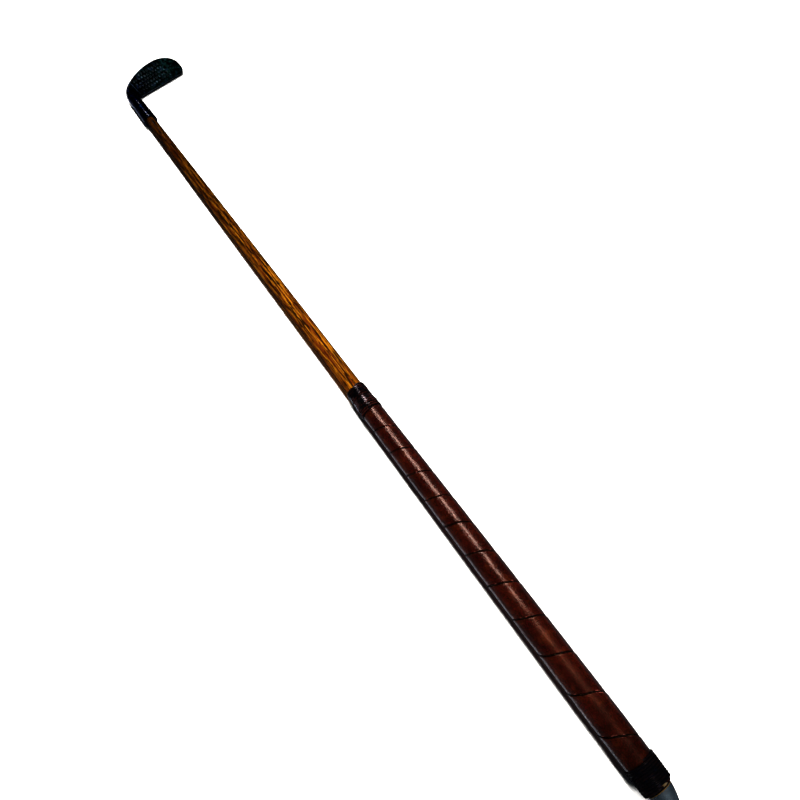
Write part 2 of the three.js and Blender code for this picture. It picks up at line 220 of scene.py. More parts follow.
def mark_wear(made: bpy.types.Object, low: float, high: float) -> None:
    """Stores how sharply each point bulges, as the attribute that the wear of edges is read from.

    Args:
        made: The object, in metres.
        low: Curvature, as 1 / millimetres, at which wear begins.
        high: Curvature at which it is full.
    """
    mesh = made.data
    count = len(mesh.vertices)
    place, normal = np.zeros(count * 3), np.zeros(count * 3)
    mesh.vertices.foreach_get("co", place)
    mesh.vertices.foreach_get("normal", normal)
    place, normal = place.reshape(-1, 3) / MM, normal.reshape(-1, 3)
    ends = np.zeros(len(mesh.edges) * 2, int)
    mesh.edges.foreach_get("vertices", ends)
    a, b = ends.reshape(-1, 2).T
    apart = place[b] - place[a]
    length = np.maximum((apart**2).sum(1), 1e-6)
    bulge = np.full(count, -1e3)
    for here, step in ((a, -apart), (b, apart)):
        np.maximum.at(bulge, here, 2 * (normal[here] * step).sum(1) / length)
    store(made, "wear", smoothstep(bulge, low, high))


def lay_down(made: bpy.types.Object, club: Club, sharp: float = 35.0) -> bpy.types.Object:
    """Moves a finished mesh to its place in the part's frame and turns its faces outwards.

    Args:
        made: The object, in millimetres on the club.
        club: How the club lies.
        sharp: Angle in degrees past which an edge is shaded sharp.

    Returns:
        The same object.
    """
    made.data.transform(club.lay)
    face_outwards(made, weld=1e-7)
    made.data.shade_smooth()
    made.data.set_sharp_from_angle(angle=math.radians(sharp))
    return made


def face_outwards(made: bpy.types.Object, weld: float = 0.0) -> None:
    """Turns a mesh's faces outwards, and joins points that lie together.

    Args:
        made: The object.
        weld: Distance within which points are joined, or 0 to join none.
    """
    grid = bmesh.new()
    grid.from_mesh(made.data)
    if weld:
        bmesh.ops.remove_doubles(grid, verts=grid.verts, dist=weld)
    bmesh.ops.recalc_face_normals(grid, faces=grid.faces)
    grid.to_mesh(made.data)
    grid.free()


class Value:
    """What a node gives out. Reckoning with it places a Math node in the same tree."""

    def __init__(self, sketch: "Sketch", socket: bpy.types.NodeSocket) -> None:
        """Takes the sketch of the tree, and the node's output."""
        self.sketch, self.socket = sketch, socket

    def __add__(self, other: "Value | float") -> "Value":
        """Returns the sum."""
        return self.sketch.math("ADD", self, other)

    def __sub__(self, other: "Value | float") -> "Value":
        """Returns the difference."""
        return self.sketch.math("SUBTRACT", self, other)

    def __rsub__(self, other: float) -> "Value":
        """Returns a number less this value."""
        return self.sketch.math("SUBTRACT", other, self)

    def __mul__(self, other: "Value | float") -> "Value":
        """Returns the product."""
        return self.sketch.math("MULTIPLY", self, other)

    def __truediv__(self, other: "Value | float") -> "Value":
        """Returns the quotient."""
        return self.sketch.math("DIVIDE", self, other)

    def __rtruediv__(self, other: float) -> "Value":
        """Returns a number divided by this value."""
        return self.sketch.math("DIVIDE", other, self)

    def __abs__(self) -> "Value":
        """Returns the value without its sign."""
        return self.sketch.math("ABSOLUTE", self)

    __radd__ = __add__
    __rmul__ = __mul__

    def remap(self, low: object, high: object, to_low: float = 0.0, to_high: float = 1.0) -> "Value":
        """Returns the value moved smoothly from one range to another, and held within it."""
        places = {"Value": self, "From Min": low, "From Max": high, "To Min": to_low, "To Max": to_high}
        return self.sketch.put("ShaderNodeMapRange", places, "Result", interpolation_type="SMOOTHSTEP")


class Sketch:
    """Places nodes in a shader or geometry tree and joins them. Patterns are read at its place."""

    def __init__(self, tree: bpy.types.NodeTree) -> None:
        """Takes the tree to draw in."""
        self.tree = tree
        self.place: Value | None = None

    def plug(self, node: bpy.types.Node, key: str | int, value: object) -> None:
        """Sets or joins one input of a node.

        Args:
            node: The node.
            key: The input's name, identifier or number.
            value: A plain value, or another node's.
        """
        if isinstance(key, int):
            socket = node.inputs[key]
        else:
            found = [s for s in node.inputs if s.identifier == key] or [s for s in node.inputs if s.name == key]
            socket = next((s for s in found if s.enabled), found[0])
        if isinstance(value, Value):
            self.tree.links.new(value.socket, socket)
        elif isinstance(value, tuple) and socket.type == "RGBA":
            socket.default_value = (*value, 1.0)
        else:
            socket.default_value = value

    def node(self, kind: str, inputs: dict | None = None, **settings: object) -> bpy.types.Node:
        """Adds one node.

        Args:
            kind: Blender's name of the node.
            inputs: Values for its inputs, by name, identifier or number.
            settings: Its other properties.

        Returns:
            The node.
        """
        node = self.tree.nodes.new(kind)
        for key, value in settings.items():
            setattr(node, key, value)
        for key, value in (inputs or {}).items():
            self.plug(node, key, value)
        return node

    def put(self, kind: str, inputs: dict | None = None, out: str = "", **settings: object) -> Value:
        """Adds one node and returns its named output, or else the first that is in use."""
        outputs = self.node(kind, inputs, **settings).outputs
        return Value(self, outputs[out] if out else next(s for s in outputs if s.enabled))

    def math(self, operation: str, a: object, b: object = 0.0) -> Value:
        """Returns the result of a Math node."""
        return self.put("ShaderNodeMath", {0: a, 1: b}, operation=operation)

    def vector(self, operation: str, a: object, b: object) -> Value:
        """Returns the result of a Vector Math node."""
        return self.put("ShaderNodeVectorMath", {0: a, "Scale" if operation == "SCALE" else 1: b}, operation=operation)

    def combine(self, x: object, y: object = 0.0, z: object = 0.0) -> Value:
        """Returns a vector made of three numbers."""
        return self.put("ShaderNodeCombineXYZ", {"X": x, "Y": y, "Z": z})

    def axis(self, name: str, at: Value | None = None) -> Value:
        """Returns one coordinate of a place."""
        return self.put("ShaderNodeSeparateXYZ", {0: at or self.place}, name)

    def mix(self, share: object, a: object, b: object, blend: str = "MIX") -> Value:
        """Mixes two colours, or two numbers where b is a number.

        Args:
            share: How far the mix is from a towards b.
            a: The first colour or number.
            b: The second.
            blend: How two colours are mixed.

        Returns:
            The mix.
        """
        kind, data = ("Float", "FLOAT") if isinstance(b, float) else ("Color", "RGBA")
        places = {"Factor_Float": share, f"A_{kind}": a, f"B_{kind}": b}
        return self.put("ShaderNodeMix", places, data_type=data, blend_type=blend)

    def noise(
        self, scale: object, detail: float = 3.0, rough: float = 0.55, bend: float = 0.0, at: Value | None = None
    ) -> Value:
        """Returns a noise between 0 and 1."""
        shape = {"Scale": scale, "Detail": detail, "Roughness": rough, "Distortion": bend}
        return self.put("ShaderNodeTexNoise", {"Vector": at or self.place, **shape}, "Fac")

    def wobble(self, scale: object, reach: object, at: Value | None = None) -> Value:
        """Returns a vector that wanders about zero, by up to half its reach."""
        colour = self.put("ShaderNodeTexNoise", {"Vector": at or self.place, "Scale": scale, "Detail": 2.0}, "Color")
        return self.vector("SCALE", self.vector("SUBTRACT", colour, (0.5, 0.5, 0.5)), reach)

    def cells(self, scale: object, feature: str = "F1", at: Value | None = None) -> Value:
        """Returns the distance to the nearest cell's middle, or to its edge."""
        places = {"Vector": at or self.place, "Scale": scale}
        return self.put("ShaderNodeTexVoronoi", places, "Distance", feature=feature)

    def stretch(self, scale: Triple, turn: Triple = (0.0, 0.0, 0.0), at: Value | None = None) -> Value:
        """Returns a place that is turned and scaled by a Mapping node."""
        return self.put("ShaderNodeMapping", {"Vector": at or self.place, "Rotation": turn, "Scale": scale})

    def ray(self, name: str) -> Value:
        """Returns whether a ray is of a kind, named as on the Light Path node."""
        return self.put("ShaderNodeLightPath", out=name)

    def close(self, **outputs: Value) -> bpy.types.NodeTree:
        """Gives the tree of a group its outputs.

        Args:
            outputs: What each output gives out.

        Returns:
            The tree.
        """
        for key, value in outputs.items():
            kind = "NodeSocketGeometry" if value.socket.type == "GEOMETRY" else "NodeSocketFloat"
            self.tree.interface.new_socket(key, in_out="OUTPUT", socket_type=kind)
        self.node("NodeGroupOutput", outputs)
        return self.tree

    def close_mesh(self, mesh: Value, finish: Value) -> bpy.types.NodeTree:
        """Ends a geometry tree with a plain mesh in its material, and returns the tree."""
        plain = self.put("GeometryNodeRealizeInstances", {"Geometry": mesh})
        return self.close(Geometry=self.put("GeometryNodeSetMaterial", {"Geometry": plain, "Material": finish}))


def new_group(name: str, kind: str, **inputs: object) -> tuple[Sketch, list[Value]]:
    """Starts a node group with named inputs.

    Args:
        name: The group's name.
        kind: Shader or Geometry.
        inputs: Each input's default value, or where it has none its kind of socket, with _ for a space.

    Returns:
        The sketch of its tree, and its inputs in order.
    """
    s = Sketch(bpy.data.node_groups.new(name, kind + "NodeTree"))
    for key, value in spaced(inputs).items():
        named = isinstance(value, str)
        socket = "NodeSocket" + (value if named else type(value).__name__.capitalize())
        made = s.tree.interface.new_socket(key, in_out="INPUT", socket_type=socket)
        if not named:
            made.default_value = value
    outputs = s.node("NodeGroupInput").outputs
    given = {key: Value(s, outputs[key]) for key in spaced(inputs)}
    s.place = given.get("Place")
    return s, list(given.values())


def run_tree(made: bpy.types.Object, tree: bpy.types.NodeTree, **values: object) -> bpy.types.Object:
    """Runs a Geometry Nodes tree on an object and keeps the result as its plain mesh.

    Args:
        made: The object that the tree starts from.
        tree: The tree.
        values: Its inputs, named with _ for a space.

    Returns:
        The same object, with the result as its mesh and no modifier.
    """
    given = spaced(values)
    modifier = made.modifiers.new(tree.name, "NODES")
    modifier.node_group = tree
    for item in tree.interface.items_tree:
        if item.item_type == "SOCKET" and item.in_out == "INPUT" and item.name in given:
            modifier[item.identifier] = given[item.name]
    graph = bpy.context.evaluated_depsgraph_get()
    evaluated = made.evaluated_get(graph)
    result = bpy.data.meshes.new_from_object(evaluated, preserve_all_data_layers=True, depsgraph=graph)
    made.modifiers.remove(modifier)
    made.data = result
    return made


class Effects:
    """Shader groups that more than one finish uses. Each gives only values and masks."""

    def __init__(self) -> None:
        """Builds the groups."""
        self.mottle, self.worn_edge = self._mottle(), self._worn_edge()
        self.grain, self.scratches = self._grain(), self._scratches()

    def _mottle(self) -> bpy.types.NodeTree:
        """Builds the group for stains: broad clouds broken up by finer ones.

        Returns:
            The group.
        """
        s, (_, scale, contrast) = new_group("mottle", "Shader", Place="Vector", Scale=60.0, Contrast=1.0)
        fine = s.noise(scale * 6.3, detail=4.0, rough=0.65)
        both = s.noise(scale, detail=4.0, rough=0.6, bend=0.4) * 0.7 + fine * 0.3
        half = 0.22 / contrast
        return s.close(Stain=both.remap(0.5 - half, 0.5 + half), Fine=fine)

    def _worn_edge(self) -> bpy.types.NodeTree:
        """Builds the group for rubbed edges: the wear attribute, broken up by noise.

        Returns:
            The group.
        """
        inputs = {"Place": "Vector", "Wear": 0.0, "Amount": 0.5, "Scale": 300.0}
        s, (_, wear, amount, scale) = new_group("worn_edge", "Shader", **inputs)
        score = wear + (amount - 1.0) + (s.noise(scale, detail=5.0, rough=0.7) - 0.5) * 1.4
        return s.close(Rubbed=score.remap(0.1, 0.4) * wear.remap(0.02, 0.3))

    def _grain(self) -> bpy.types.NodeTree:
        """Builds the group for leather grain: small cells with creases between them, and pores.

        Returns:
            The group.
        """
        s, (place, scale) = new_group("leather_grain", "Shader", Place="Vector", Scale=900.0)
        bent = s.vector("ADD", place, s.wobble(scale * 0.7, 0.9 / scale))
        pebble = s.cells(scale, "DISTANCE_TO_EDGE", at=bent).remap(0.0, 0.28)
        pore = s.cells(scale * 0.45, at=bent).remap(0.04, 0.13)
        height = pebble * 0.45 + s.noise(scale * 0.22) * 0.5 + pore * 0.25
        return s.close(Height=height, Crease=1.0 - pebble * pore)

    def _scratches(self) -> bpy.types.NodeTree:
        """Builds the group for fine scratches that run along the place's first axis.

        Returns:
            The group.
        """
        s, (place, scale, amount) = new_group("scratches", "Shader", Place="Vector", Scale=900.0, Amount=0.4)
        streak = s.noise(scale, rough=0.7, bend=0.2, at=s.vector("MULTIPLY", place, (0.035, 1.0, 1.0)))
        low = 0.78 - amount * 0.3
        return s.close(Mask=streak.remap(low, low + 0.1) * s.noise(scale * 0.12, detail=2.0).remap(0.38, 0.6))


class Paint(Sketch):
    """A material's tree, with the colour, roughness and normal that its layers have reached so far."""

    def __init__(self, name: str, colour: Colour, rough: float, **fixed: object) -> None:
        """Starts a material.

        Args:
            name: The material's name.
            colour: Its first colour.
            rough: Its first roughness.
            fixed: Values of the shader that are the same all over, with _ for a space.
        """
        self.material = bpy.data.materials.new(name)
        self.material.use_nodes = True
        super().__init__(self.material.node_tree)
        self.colour, self.rough, self.normal = colour, rough, None
        self.place = self.put("ShaderNodeTexCoord", out="Object")
        self.finish(**fixed)

    def attribute(self, name: str) -> Value:
        """Returns a number that is stored on the mesh."""
        return self.put("ShaderNodeAttribute", out="Fac", attribute_name=name)

    def uv(self) -> Value:
        """Returns the place on the piece laid flat, in millimetres."""
        return self.put("ShaderNodeUVMap", uv_map="UVMap")

    def grazing(self, low: float, high: float) -> Value:
        """Returns 0 where the surface faces the eye and 1 where it turns away from it."""
        return self.put("ShaderNodeLayerWeight", {"Blend": 0.5}, "Facing").remap(low, high)

    def apply(self, effect: bpy.types.NodeTree, **inputs: object) -> list[Value]:
        """Places a shared effect and returns its outputs in order."""
        node = self.node("ShaderNodeGroup", {"Place": self.place, **inputs}, node_tree=effect)
        return [Value(self, socket) for socket in node.outputs]

    def lay(self, *layers: tuple[Colour | Value, Value], blend: str = "MIX") -> None:
        """Lays colours over the one so far, each as thickly as the value beside it says."""
        for colour, share in layers:
            self.colour = self.mix(share, self.colour, colour, blend)

    def roughen(self, *layers: tuple[float, Value]) -> None:
        """Brings the roughness to others, each as far as the value beside it says."""
        for rough, share in layers:
            self.rough = self.mix(share, self.rough, rough)

    def emboss(self, height: Value, depth: float, strength: float = 1.0) -> None:
        """Raises a relief on top of the one so far.

        Args:
            height: The relief.
            depth: Its depth in millimetres.
            strength: How fully it is seen.
        """
        inputs = {"Height": height, "Distance": depth * MM, "Strength": strength}
        if self.normal is not None:
            inputs["Normal"] = self.normal
        self.normal = self.put("ShaderNodeBump", inputs)

    def finish(self, **inputs: object) -> bpy.types.Material:
        """Gives the shader the colour, roughness and normal that were reached.

        Args:
            inputs: Its other inputs, named with _ for a space.

        Returns:
            The material.
        """
        inputs |= {"Base_Color": self.colour, "Roughness": self.rough}
        if self.normal is not None:
            inputs["Normal"] = self.normal
        for key, value in spaced(inputs).items():
            self.plug(self.tree.nodes["Principled BSDF"], key, value)
        return self.material


@dataclass(frozen=True)
class BrownedIron:
    """Forged iron, oiled and browned almost black, with a blue-green sheen and rubbed edges."""

    black: Colour = (0.0016, 0.0018, 0.002)
    sheen: Colour = (0.007, 0.042, 0.036)
    blue: Colour = (0.014, 0.024, 0.070)
    rust: Colour = (0.020, 0.009, 0.006)
    rubbed: Colour = (0.10, 0.11, 0.13)
    # Lighter, bluer metal in the punched dots: partly bare metal, partly painted glints.
    punched: Colour = (0.055, 0.10, 0.13)
    # Bluish line along the crease where the neck meets the face: a painted reflection.
    crease: Colour = (0.05, 0.075, 0.14)
    glint: Colour = (0.40, 0.42, 0.55)
    sheen_from: float = -0.022
    sheen_to: float = 0.03
    filed: float = math.radians(-20)

    def make(self, effects: Effects) -> bpy.types.Material:
        """Builds the material.

        Args:
            effects: The shared effects.

        Returns:
            The material.
        """
        p = Paint("browned_iron", self.black, 0.2, Metallic=1.0, Coat_Roughness=0.12, Specular_Tint=self.glint)
        broad, _ = p.apply(effects.mottle, Scale=38.0, Contrast=1.5)
        fine, _ = p.apply(effects.mottle, Scale=210.0, Contrast=1.2)
        [edge] = p.apply(effects.worn_edge, Wear=p.attribute("wear"), Amount=0.62, Scale=420.0)
        across = p.stretch((1.0, 1.0, 1.0), (0.0, 0.0, self.filed))
        [marks] = p.apply(effects.scratches, Place=across, Scale=1400.0, Amount=0.45)
        patches = broad * fine.remap(0.3, 0.7) * p.axis("X").remap(self.sheen_from, self.sheen_to, 0.15)
        specks = p.noise(640.0, detail=4.0, rough=0.7).remap(0.62, 0.74, 0.0, 0.55)
        # Dots laid lighter in patches: partly bare metal, partly painted glints.
        dots = p.attribute("dot") * p.noise(95.0, detail=2.0).remap(0.5, 0.68, 0.03, 0.9)
        # Mask of the painted reflection line along the neck's crease.
        crease = p.attribute("crease") * p.noise(150.0, detail=2.0).remap(0.4, 0.6, 0.25)
        p.lay(
            (self.sheen, patches), (self.blue, fine.remap(0.7, 0.95, 0.0, 0.6)), (self.rust, specks),
            (self.rubbed, marks * 0.25), (self.rubbed, edge), (self.punched, dots), (self.crease, crease),
        )
        p.roughen((0.34, fine), (0.75, specks), (0.3, edge), (0.5, patches * 0.5), (0.6, crease))
        p.emboss(p.cells(520.0).remap(0.06, 0.2), depth=0.05)
        p.emboss(p.noise(260.0, detail=5.0, rough=0.6), depth=0.16, strength=0.55)
        p.emboss(marks, depth=0.012)
        return p.finish(Coat_Weight=p.noise(130.0).remap(0.42, 0.62, 0.0, 0.2))


@dataclass(frozen=True)
class Hickory:
    """Varnished hickory: straight grain with long dark flecks, darkened towards the hosel and where it turns away from
    the eye by painted shade.
    """

    pale: Colour = (0.54, 0.240, 0.014)
    amber: Colour = (0.30, 0.110, 0.006)
    red: Colour = (0.15, 0.030, 0.004)
    fleck: Colour = (0.022, 0.008, 0.002)
    # Multiplied in towards the hosel: painted shade where the light falls off along the club.
    dark: Colour = (0.13, 0.11, 0.13)
    # Near-black laid where the wood turns away from the eye: painted shade.
    edge: Colour = (0.003, 0.002, 0.002)
    dark_from: float = -0.22
    dark_to: float = 0.42
    lean: float = math.radians(0.35)
    varnish: float = 0.1

    def make(self, effects: Effects) -> bpy.types.Material:
        """Builds the material.

        Args:
            effects: The shared effects.

        Returns:
            The material.
        """
        p = Paint("varnished_hickory", self.pale, 0.34, Coat_Roughness=0.25, Specular_IOR_Level=0.0)
        slow = p.stretch((1.0, 0.045, 1.0), (0.0, 0.0, self.lean))
        places = p.vector("ADD", p.stretch((1.0, 0.03, 0.65)), p.wobble(90.0, 0.0045, at=slow))
        shape = {"Scale": 120.0, "Distortion": 1.6, "Detail": 3.0}
        rings = p.put("ShaderNodeTexWave", {"Vector": places, **shape}, "Fac").remap(0.15, 0.9)
        cloud, _ = p.apply(effects.mottle, Place=slow, Scale=130.0, Contrast=1.1)
        flecks = p.noise(840.0, detail=2.0, rough=0.5, at=p.stretch((1.0, 0.05, 1.0))).remap(0.515, 0.54)
        streaks = p.noise(620.0, detail=2.0, rough=0.5, at=p.stretch((1.0, 0.03, 1.0))).remap(0.5, 0.56, 0.0, 0.9)
        pores = p.noise(1900.0, detail=2.0, rough=0.6, at=p.stretch((1.0, 0.09, 1.0))).remap(0.54, 0.6, 0.0, 0.6)
        p.lay(
            (self.amber, rings), (self.red, cloud * 0.4), (self.red, streaks),
            (self.fleck, flecks * 0.95), (self.fleck, pores),
        )
        # The share of that painted shade, growing towards the hosel.
        stain = (p.axis("Y") + (cloud - 0.5) * 0.08).remap(self.dark_from, self.dark_to)
        away = p.grazing(0.6, 0.85)
        p.lay((self.dark, stain), blend="MULTIPLY")
        # Painted shade where the wood turns away from the eye.
        p.lay((self.edge, away))
        p.roughen((0.5, flecks))
        p.emboss(1.0 - flecks, depth=0.035)
        p.emboss(p.noise(420.0, at=p.stretch((1.0, 0.12, 1.0))), depth=0.1, strength=0.5)
        return p.finish(Coat_Weight=p.grazing(0.44, 0.62) * (self.varnish - away * self.varnish))


@dataclass(frozen=True)
class GripLeather:
    """Glossy red-brown calf, polished by hands and darker towards the butt, with painted glints beside the seams and
    painted shade where it turns away from the eye.
    """

    deep: Colour = (0.016, 0.0022, 0.0012)
    warm: Colour = (0.080, 0.0115, 0.0035)
    lit: Colour = (0.20, 0.055, 0.025)
    amber: Colour = (0.125, 0.026, 0.0040)
    maroon: Colour = (0.082, 0.0045, 0.0055)
    olive: Colour = (0.012, 0.0050, 0.0010)
    # Pink for the flecks beside the seams: painted glints on the strip's edges.
    chipped: Colour = (0.27, 0.085, 0.065)
    # Near-black laid in the grain's creases, in the seams, towards the butt, and as painted shade where the calf turns
    # away from the eye.
    grime: Colour = (0.003, 0.0010, 0.0008)
    shine: Colour = (1.0, 0.68, 0.58)
    brown_shine: Colour = (1.0, 0.46, 0.28)
    dull_to: float = -0.40
    bright_from: float = -0.30
    butt_dark: float = -0.47
    butt_clear: float = -0.40

    def make(self, effects: Effects) -> bpy.types.Material:
        """Builds the material.

        Args:
            effects: The shared effects.

        Returns:
            The material.
        """
        p = Paint("grip_calf", self.deep, 0.07, Coat_Roughness=0.08)
        clouds, _ = p.apply(effects.mottle, Scale=75.0, Contrast=1.4)
        spots, _ = p.apply(effects.mottle, Scale=420.0, Contrast=2.0)
        grain, crease = p.apply(effects.grain, Scale=1150.0)
        [edge] = p.apply(effects.worn_edge, Wear=p.attribute("wear"), Amount=0.7, Scale=350.0)
        seam = p.attribute("seam")
        beside = seam.remap(0.04, 0.2) * seam.remap(0.75, 0.5)
        speck = p.noise(1300.0, detail=2.0, rough=0.6)
        along = p.axis("Y") + (p.noise(60.0) - 0.5) * 0.09
        # Rises towards the butt, where the calf is laid darker and made less glossy.
        towards_butt = along.remap(self.butt_dark, self.butt_clear, 0.85, 0.0)
        dull = along.remap(self.dull_to, self.bright_from, 1.0, 0.0) * (1.0 - p.grazing(0.12, 0.3))
        p.lay(
            (self.warm, clouds),
            (self.amber, p.noise(95.0, rough=0.6).remap(0.5, 0.68, 0.0, 0.65)),
            (self.deep, spots * 0.6),
            (self.maroon, speck.remap(0.52, 0.62, 0.0, 0.7)),
            (self.olive, speck.remap(0.46, 0.38, 0.0, 0.7)),
            (self.grime, crease * 0.55),
            # Lighter on the raised, rubbed edges: partly wear, partly a painted highlight.
            (self.lit, edge * 0.45),
            (self.grime, seam.remap(0.15, 0.6)),
            # Flecks beside the seams: painted glints.
            (self.chipped, beside * p.noise(210.0, detail=2.0).remap(0.6, 0.66)),
            (self.grime, towards_butt * 0.62),
            # Darker where the calf turns away from the eye: painted shade.
            (self.grime, p.grazing(0.4, 0.76)),
        )
        p.roughen((0.13, spots), (0.22, crease), (0.3, dull))
        p.emboss(grain, depth=0.06)
        wrinkle = p.noise(1.0, detail=4.0, rough=0.6, bend=0.6, at=p.stretch((0.9, 0.12, 1.0), at=p.uv()))
        p.emboss(wrinkle, depth=0.16, strength=0.7)
        return p.finish(
            Coat_Weight=p.mix(clouds, 0.0, 0.06),
            Specular_IOR_Level=seam.remap(0.1, 0.5, 0.42, 0.02) * towards_butt.remap(0.0, 1.0, 1.0, 0.25),
            Specular_Tint=p.mix(dull, self.shine, self.brown_shine),
        )


@dataclass(frozen=True)
class WaxedThread:
    """Black waxed twine, rubbed red-brown here and there and bright in the middle of the top whipping, with painted
    shade where it turns away from the eye.
    """

    black: Colour = (0.0016, 0.0016, 0.002)
    blue: Colour = (0.002, 0.004, 0.012)
    brown: Colour = (0.065, 0.014, 0.009)
    shine: Colour = (1.0, 0.8, 0.86)
    rubbed_at: float = -0.1378
    butt_dark: float = -0.45
    butt_clear: float = -0.25

    def make(self, effects: Effects) -> bpy.types.Material:
        """Builds the material.

        Args:
            effects: The shared effects.

        Returns:
            The material.
        """
        p = Paint("waxed_twine", self.black, 0.12, Specular_Tint=self.shine)
        stain, fine = p.apply(effects.mottle, Scale=120.0, Contrast=1.6)
        uv, along = p.uv(), p.axis("Y")
        fibres = p.noise(2.2, rough=0.6, at=p.stretch((0.5, 9.0, 1.0), (0.0, 0.0, 0.4), at=uv))
        # Low near the butt, where the twine is laid without its red-brown crests and with less shine.
        away_from_butt = along.remap(self.butt_dark, self.butt_clear, 0.1)
        crest = abs(p.axis("Y", at=uv) - 0.5).remap(0.36, 0.5) * (stain.remap(0.4, 0.8) * away_from_butt)
        middle = abs(along - self.rubbed_at).remap(0.005, 0.002, 0.0, 0.7)
        p.lay(
            (self.blue, fine.remap(0.55, 0.75)), (self.brown, crest * fibres.remap(0.35, 0.6, 0.3)),
            # Darker where the twine turns away from the eye: painted shade.
            (self.black, p.grazing(0.5, 0.78)),
        )
        p.roughen((0.26, fibres))
        p.emboss(fibres, depth=0.06)
        bright = p.noise(190.0, detail=1.0).remap(0.53, 0.63, 0.015, 0.4)
        return p.finish(Specular_IOR_Level=bright * away_from_butt + middle)


@dataclass(frozen=True)
class CapLeather:
    """Blackened hard leather, rubbed through to its tan core at the rims, with slate blue-grey clouds as a painted
    reflection and painted shade where it turns away from the eye.
    """

    black: Colour = (0.008, 0.012, 0.017)
    # Slate blue-grey laid in clouds: a painted reflection of blue light.
    grey: Colour = (0.026, 0.045, 0.060)
    tan: Colour = (0.14, 0.080, 0.018)

    def make(self, effects: Effects) -> bpy.types.Material:
        """Builds the material.

        Args:
            effects: The shared effects.

        Returns:
            The material.
        """
        p = Paint("blackened_leather", self.black, 0.5, Specular_IOR_Level=0.25)
        clouds, fine = p.apply(effects.mottle, Scale=180.0, Contrast=1.2)
        grain, crease = p.apply(effects.grain, Scale=1000.0)
        [edge] = p.apply(effects.worn_edge, Wear=p.attribute("wear"), Amount=0.4, Scale=300.0)
        # The grey clouds are a painted reflection, and the last layer is painted shade where the cap turns away from
        # the eye.
        p.lay((self.grey, clouds), (self.black, crease * 0.5), (self.tan, edge), (self.black, p.grazing(0.5, 0.8)))
        p.roughen((0.7, fine), (0.75, edge))
        p.emboss(grain, depth=0.07)
        return p.finish()


@dataclass(frozen=True)
class Listing:
    """Plain woven selvedge cloth, grey with age."""

    warp: Colour = (0.17, 0.11, 0.03)
    weft: Colour = (0.08, 0.05, 0.015)
    soiled: Colour = (0.03, 0.02, 0.01)
    threads: float = 1.3

    def make(self, effects: Effects) -> bpy.types.Material:
        """Builds the material.

        Args:
            effects: The shared effects.

        Returns:
            The material.
        """
        p = Paint("listing_cloth", self.warp, 0.8, Sheen_Weight=0.3)
        uv, turn = p.uv(), self.threads * 2 * math.pi
        weave = p.math("SINE", p.axis("X", at=uv) * turn) * p.math("SINE", p.axis("Y", at=uv) * turn)
        stain, fine = p.apply(effects.mottle, Scale=90.0, Contrast=1.0)
        p.lay((self.weft, weave.remap(-0.6, 0.6)), (self.soiled, stain * 0.5))
        p.roughen((1.0, fine))
        p.emboss(weave + p.noise(3.0, at=uv), depth=0.1)
        return p.finish()


@dataclass(frozen=True)
class DullBrass:
    """Brass gone brown, brighter where it is rubbed."""

    bright: Colour = (0.50, 0.34, 0.13)
    tarnish: Colour = (0.11, 0.07, 0.03)

    def make(self, effects: Effects) -> bpy.types.Material:
        """Builds the material.

        Args:
            effects: The shared effects.

        Returns:
            The material.
        """
        p = Paint("dull_brass", self.bright, 0.26, Metallic=0.95)
        stain, fine = p.apply(effects.mottle, Scale=420.0, Contrast=1.2)
        [marks] = p.apply(effects.scratches, Scale=2600.0, Amount=0.6)
        p.lay((self.tarnish, stain), (self.bright, marks * 0.5))
        p.roughen((0.5, stain))
        p.emboss(fine, depth=0.03)
        return p.finish()


class Finish(Enum):
    """The finishes that the club is dressed in, each with the record's slot that it belongs to."""

    IRON = ("iron", BrownedIron())
    HICKORY = ("hickory", Hickory())
    CALF = ("grip_leather", GripLeather())
    TWINE = ("thread", WaxedThread())
    CAP = ("cap_leather", CapLeather())
    LISTING = ("listing", Listing())
    BRASS = ("brass", DullBrass())


class Workshop:
    """What every sub-assembly needs: how the club lies, and the finishes."""

    def __init__(self) -> None:
        """Builds the effects and the materials."""
        effects = Effects()
        self.club = Club()
        self.materials = {finish: finish.value[1].make(effects) for finish in Finish}

    def dress(self, made: bpy.types.Object, finish: Finish) -> None:
        """Gives an object one finish all over."""
        made.data.materials.clear()
        made.data.materials.append(self.materials[finish])

    def hand_over(self, made: bpy.types.Object, finish: Finish, node: str) -> None:
        """Dresses a piece that is already laid down, and hangs it on the club's body.

        Args:
            made: The piece.
            finish: Its finish.
            node: The CAD node that it replaces.
        """
        self.dress(made, finish)
        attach(made, BODY)
        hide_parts(node)
        made.data.calc_loop_triangles()
        LOG.info("%s: %d triangles, finish %s", made.name, len(made.data.loop_triangles), finish.name)


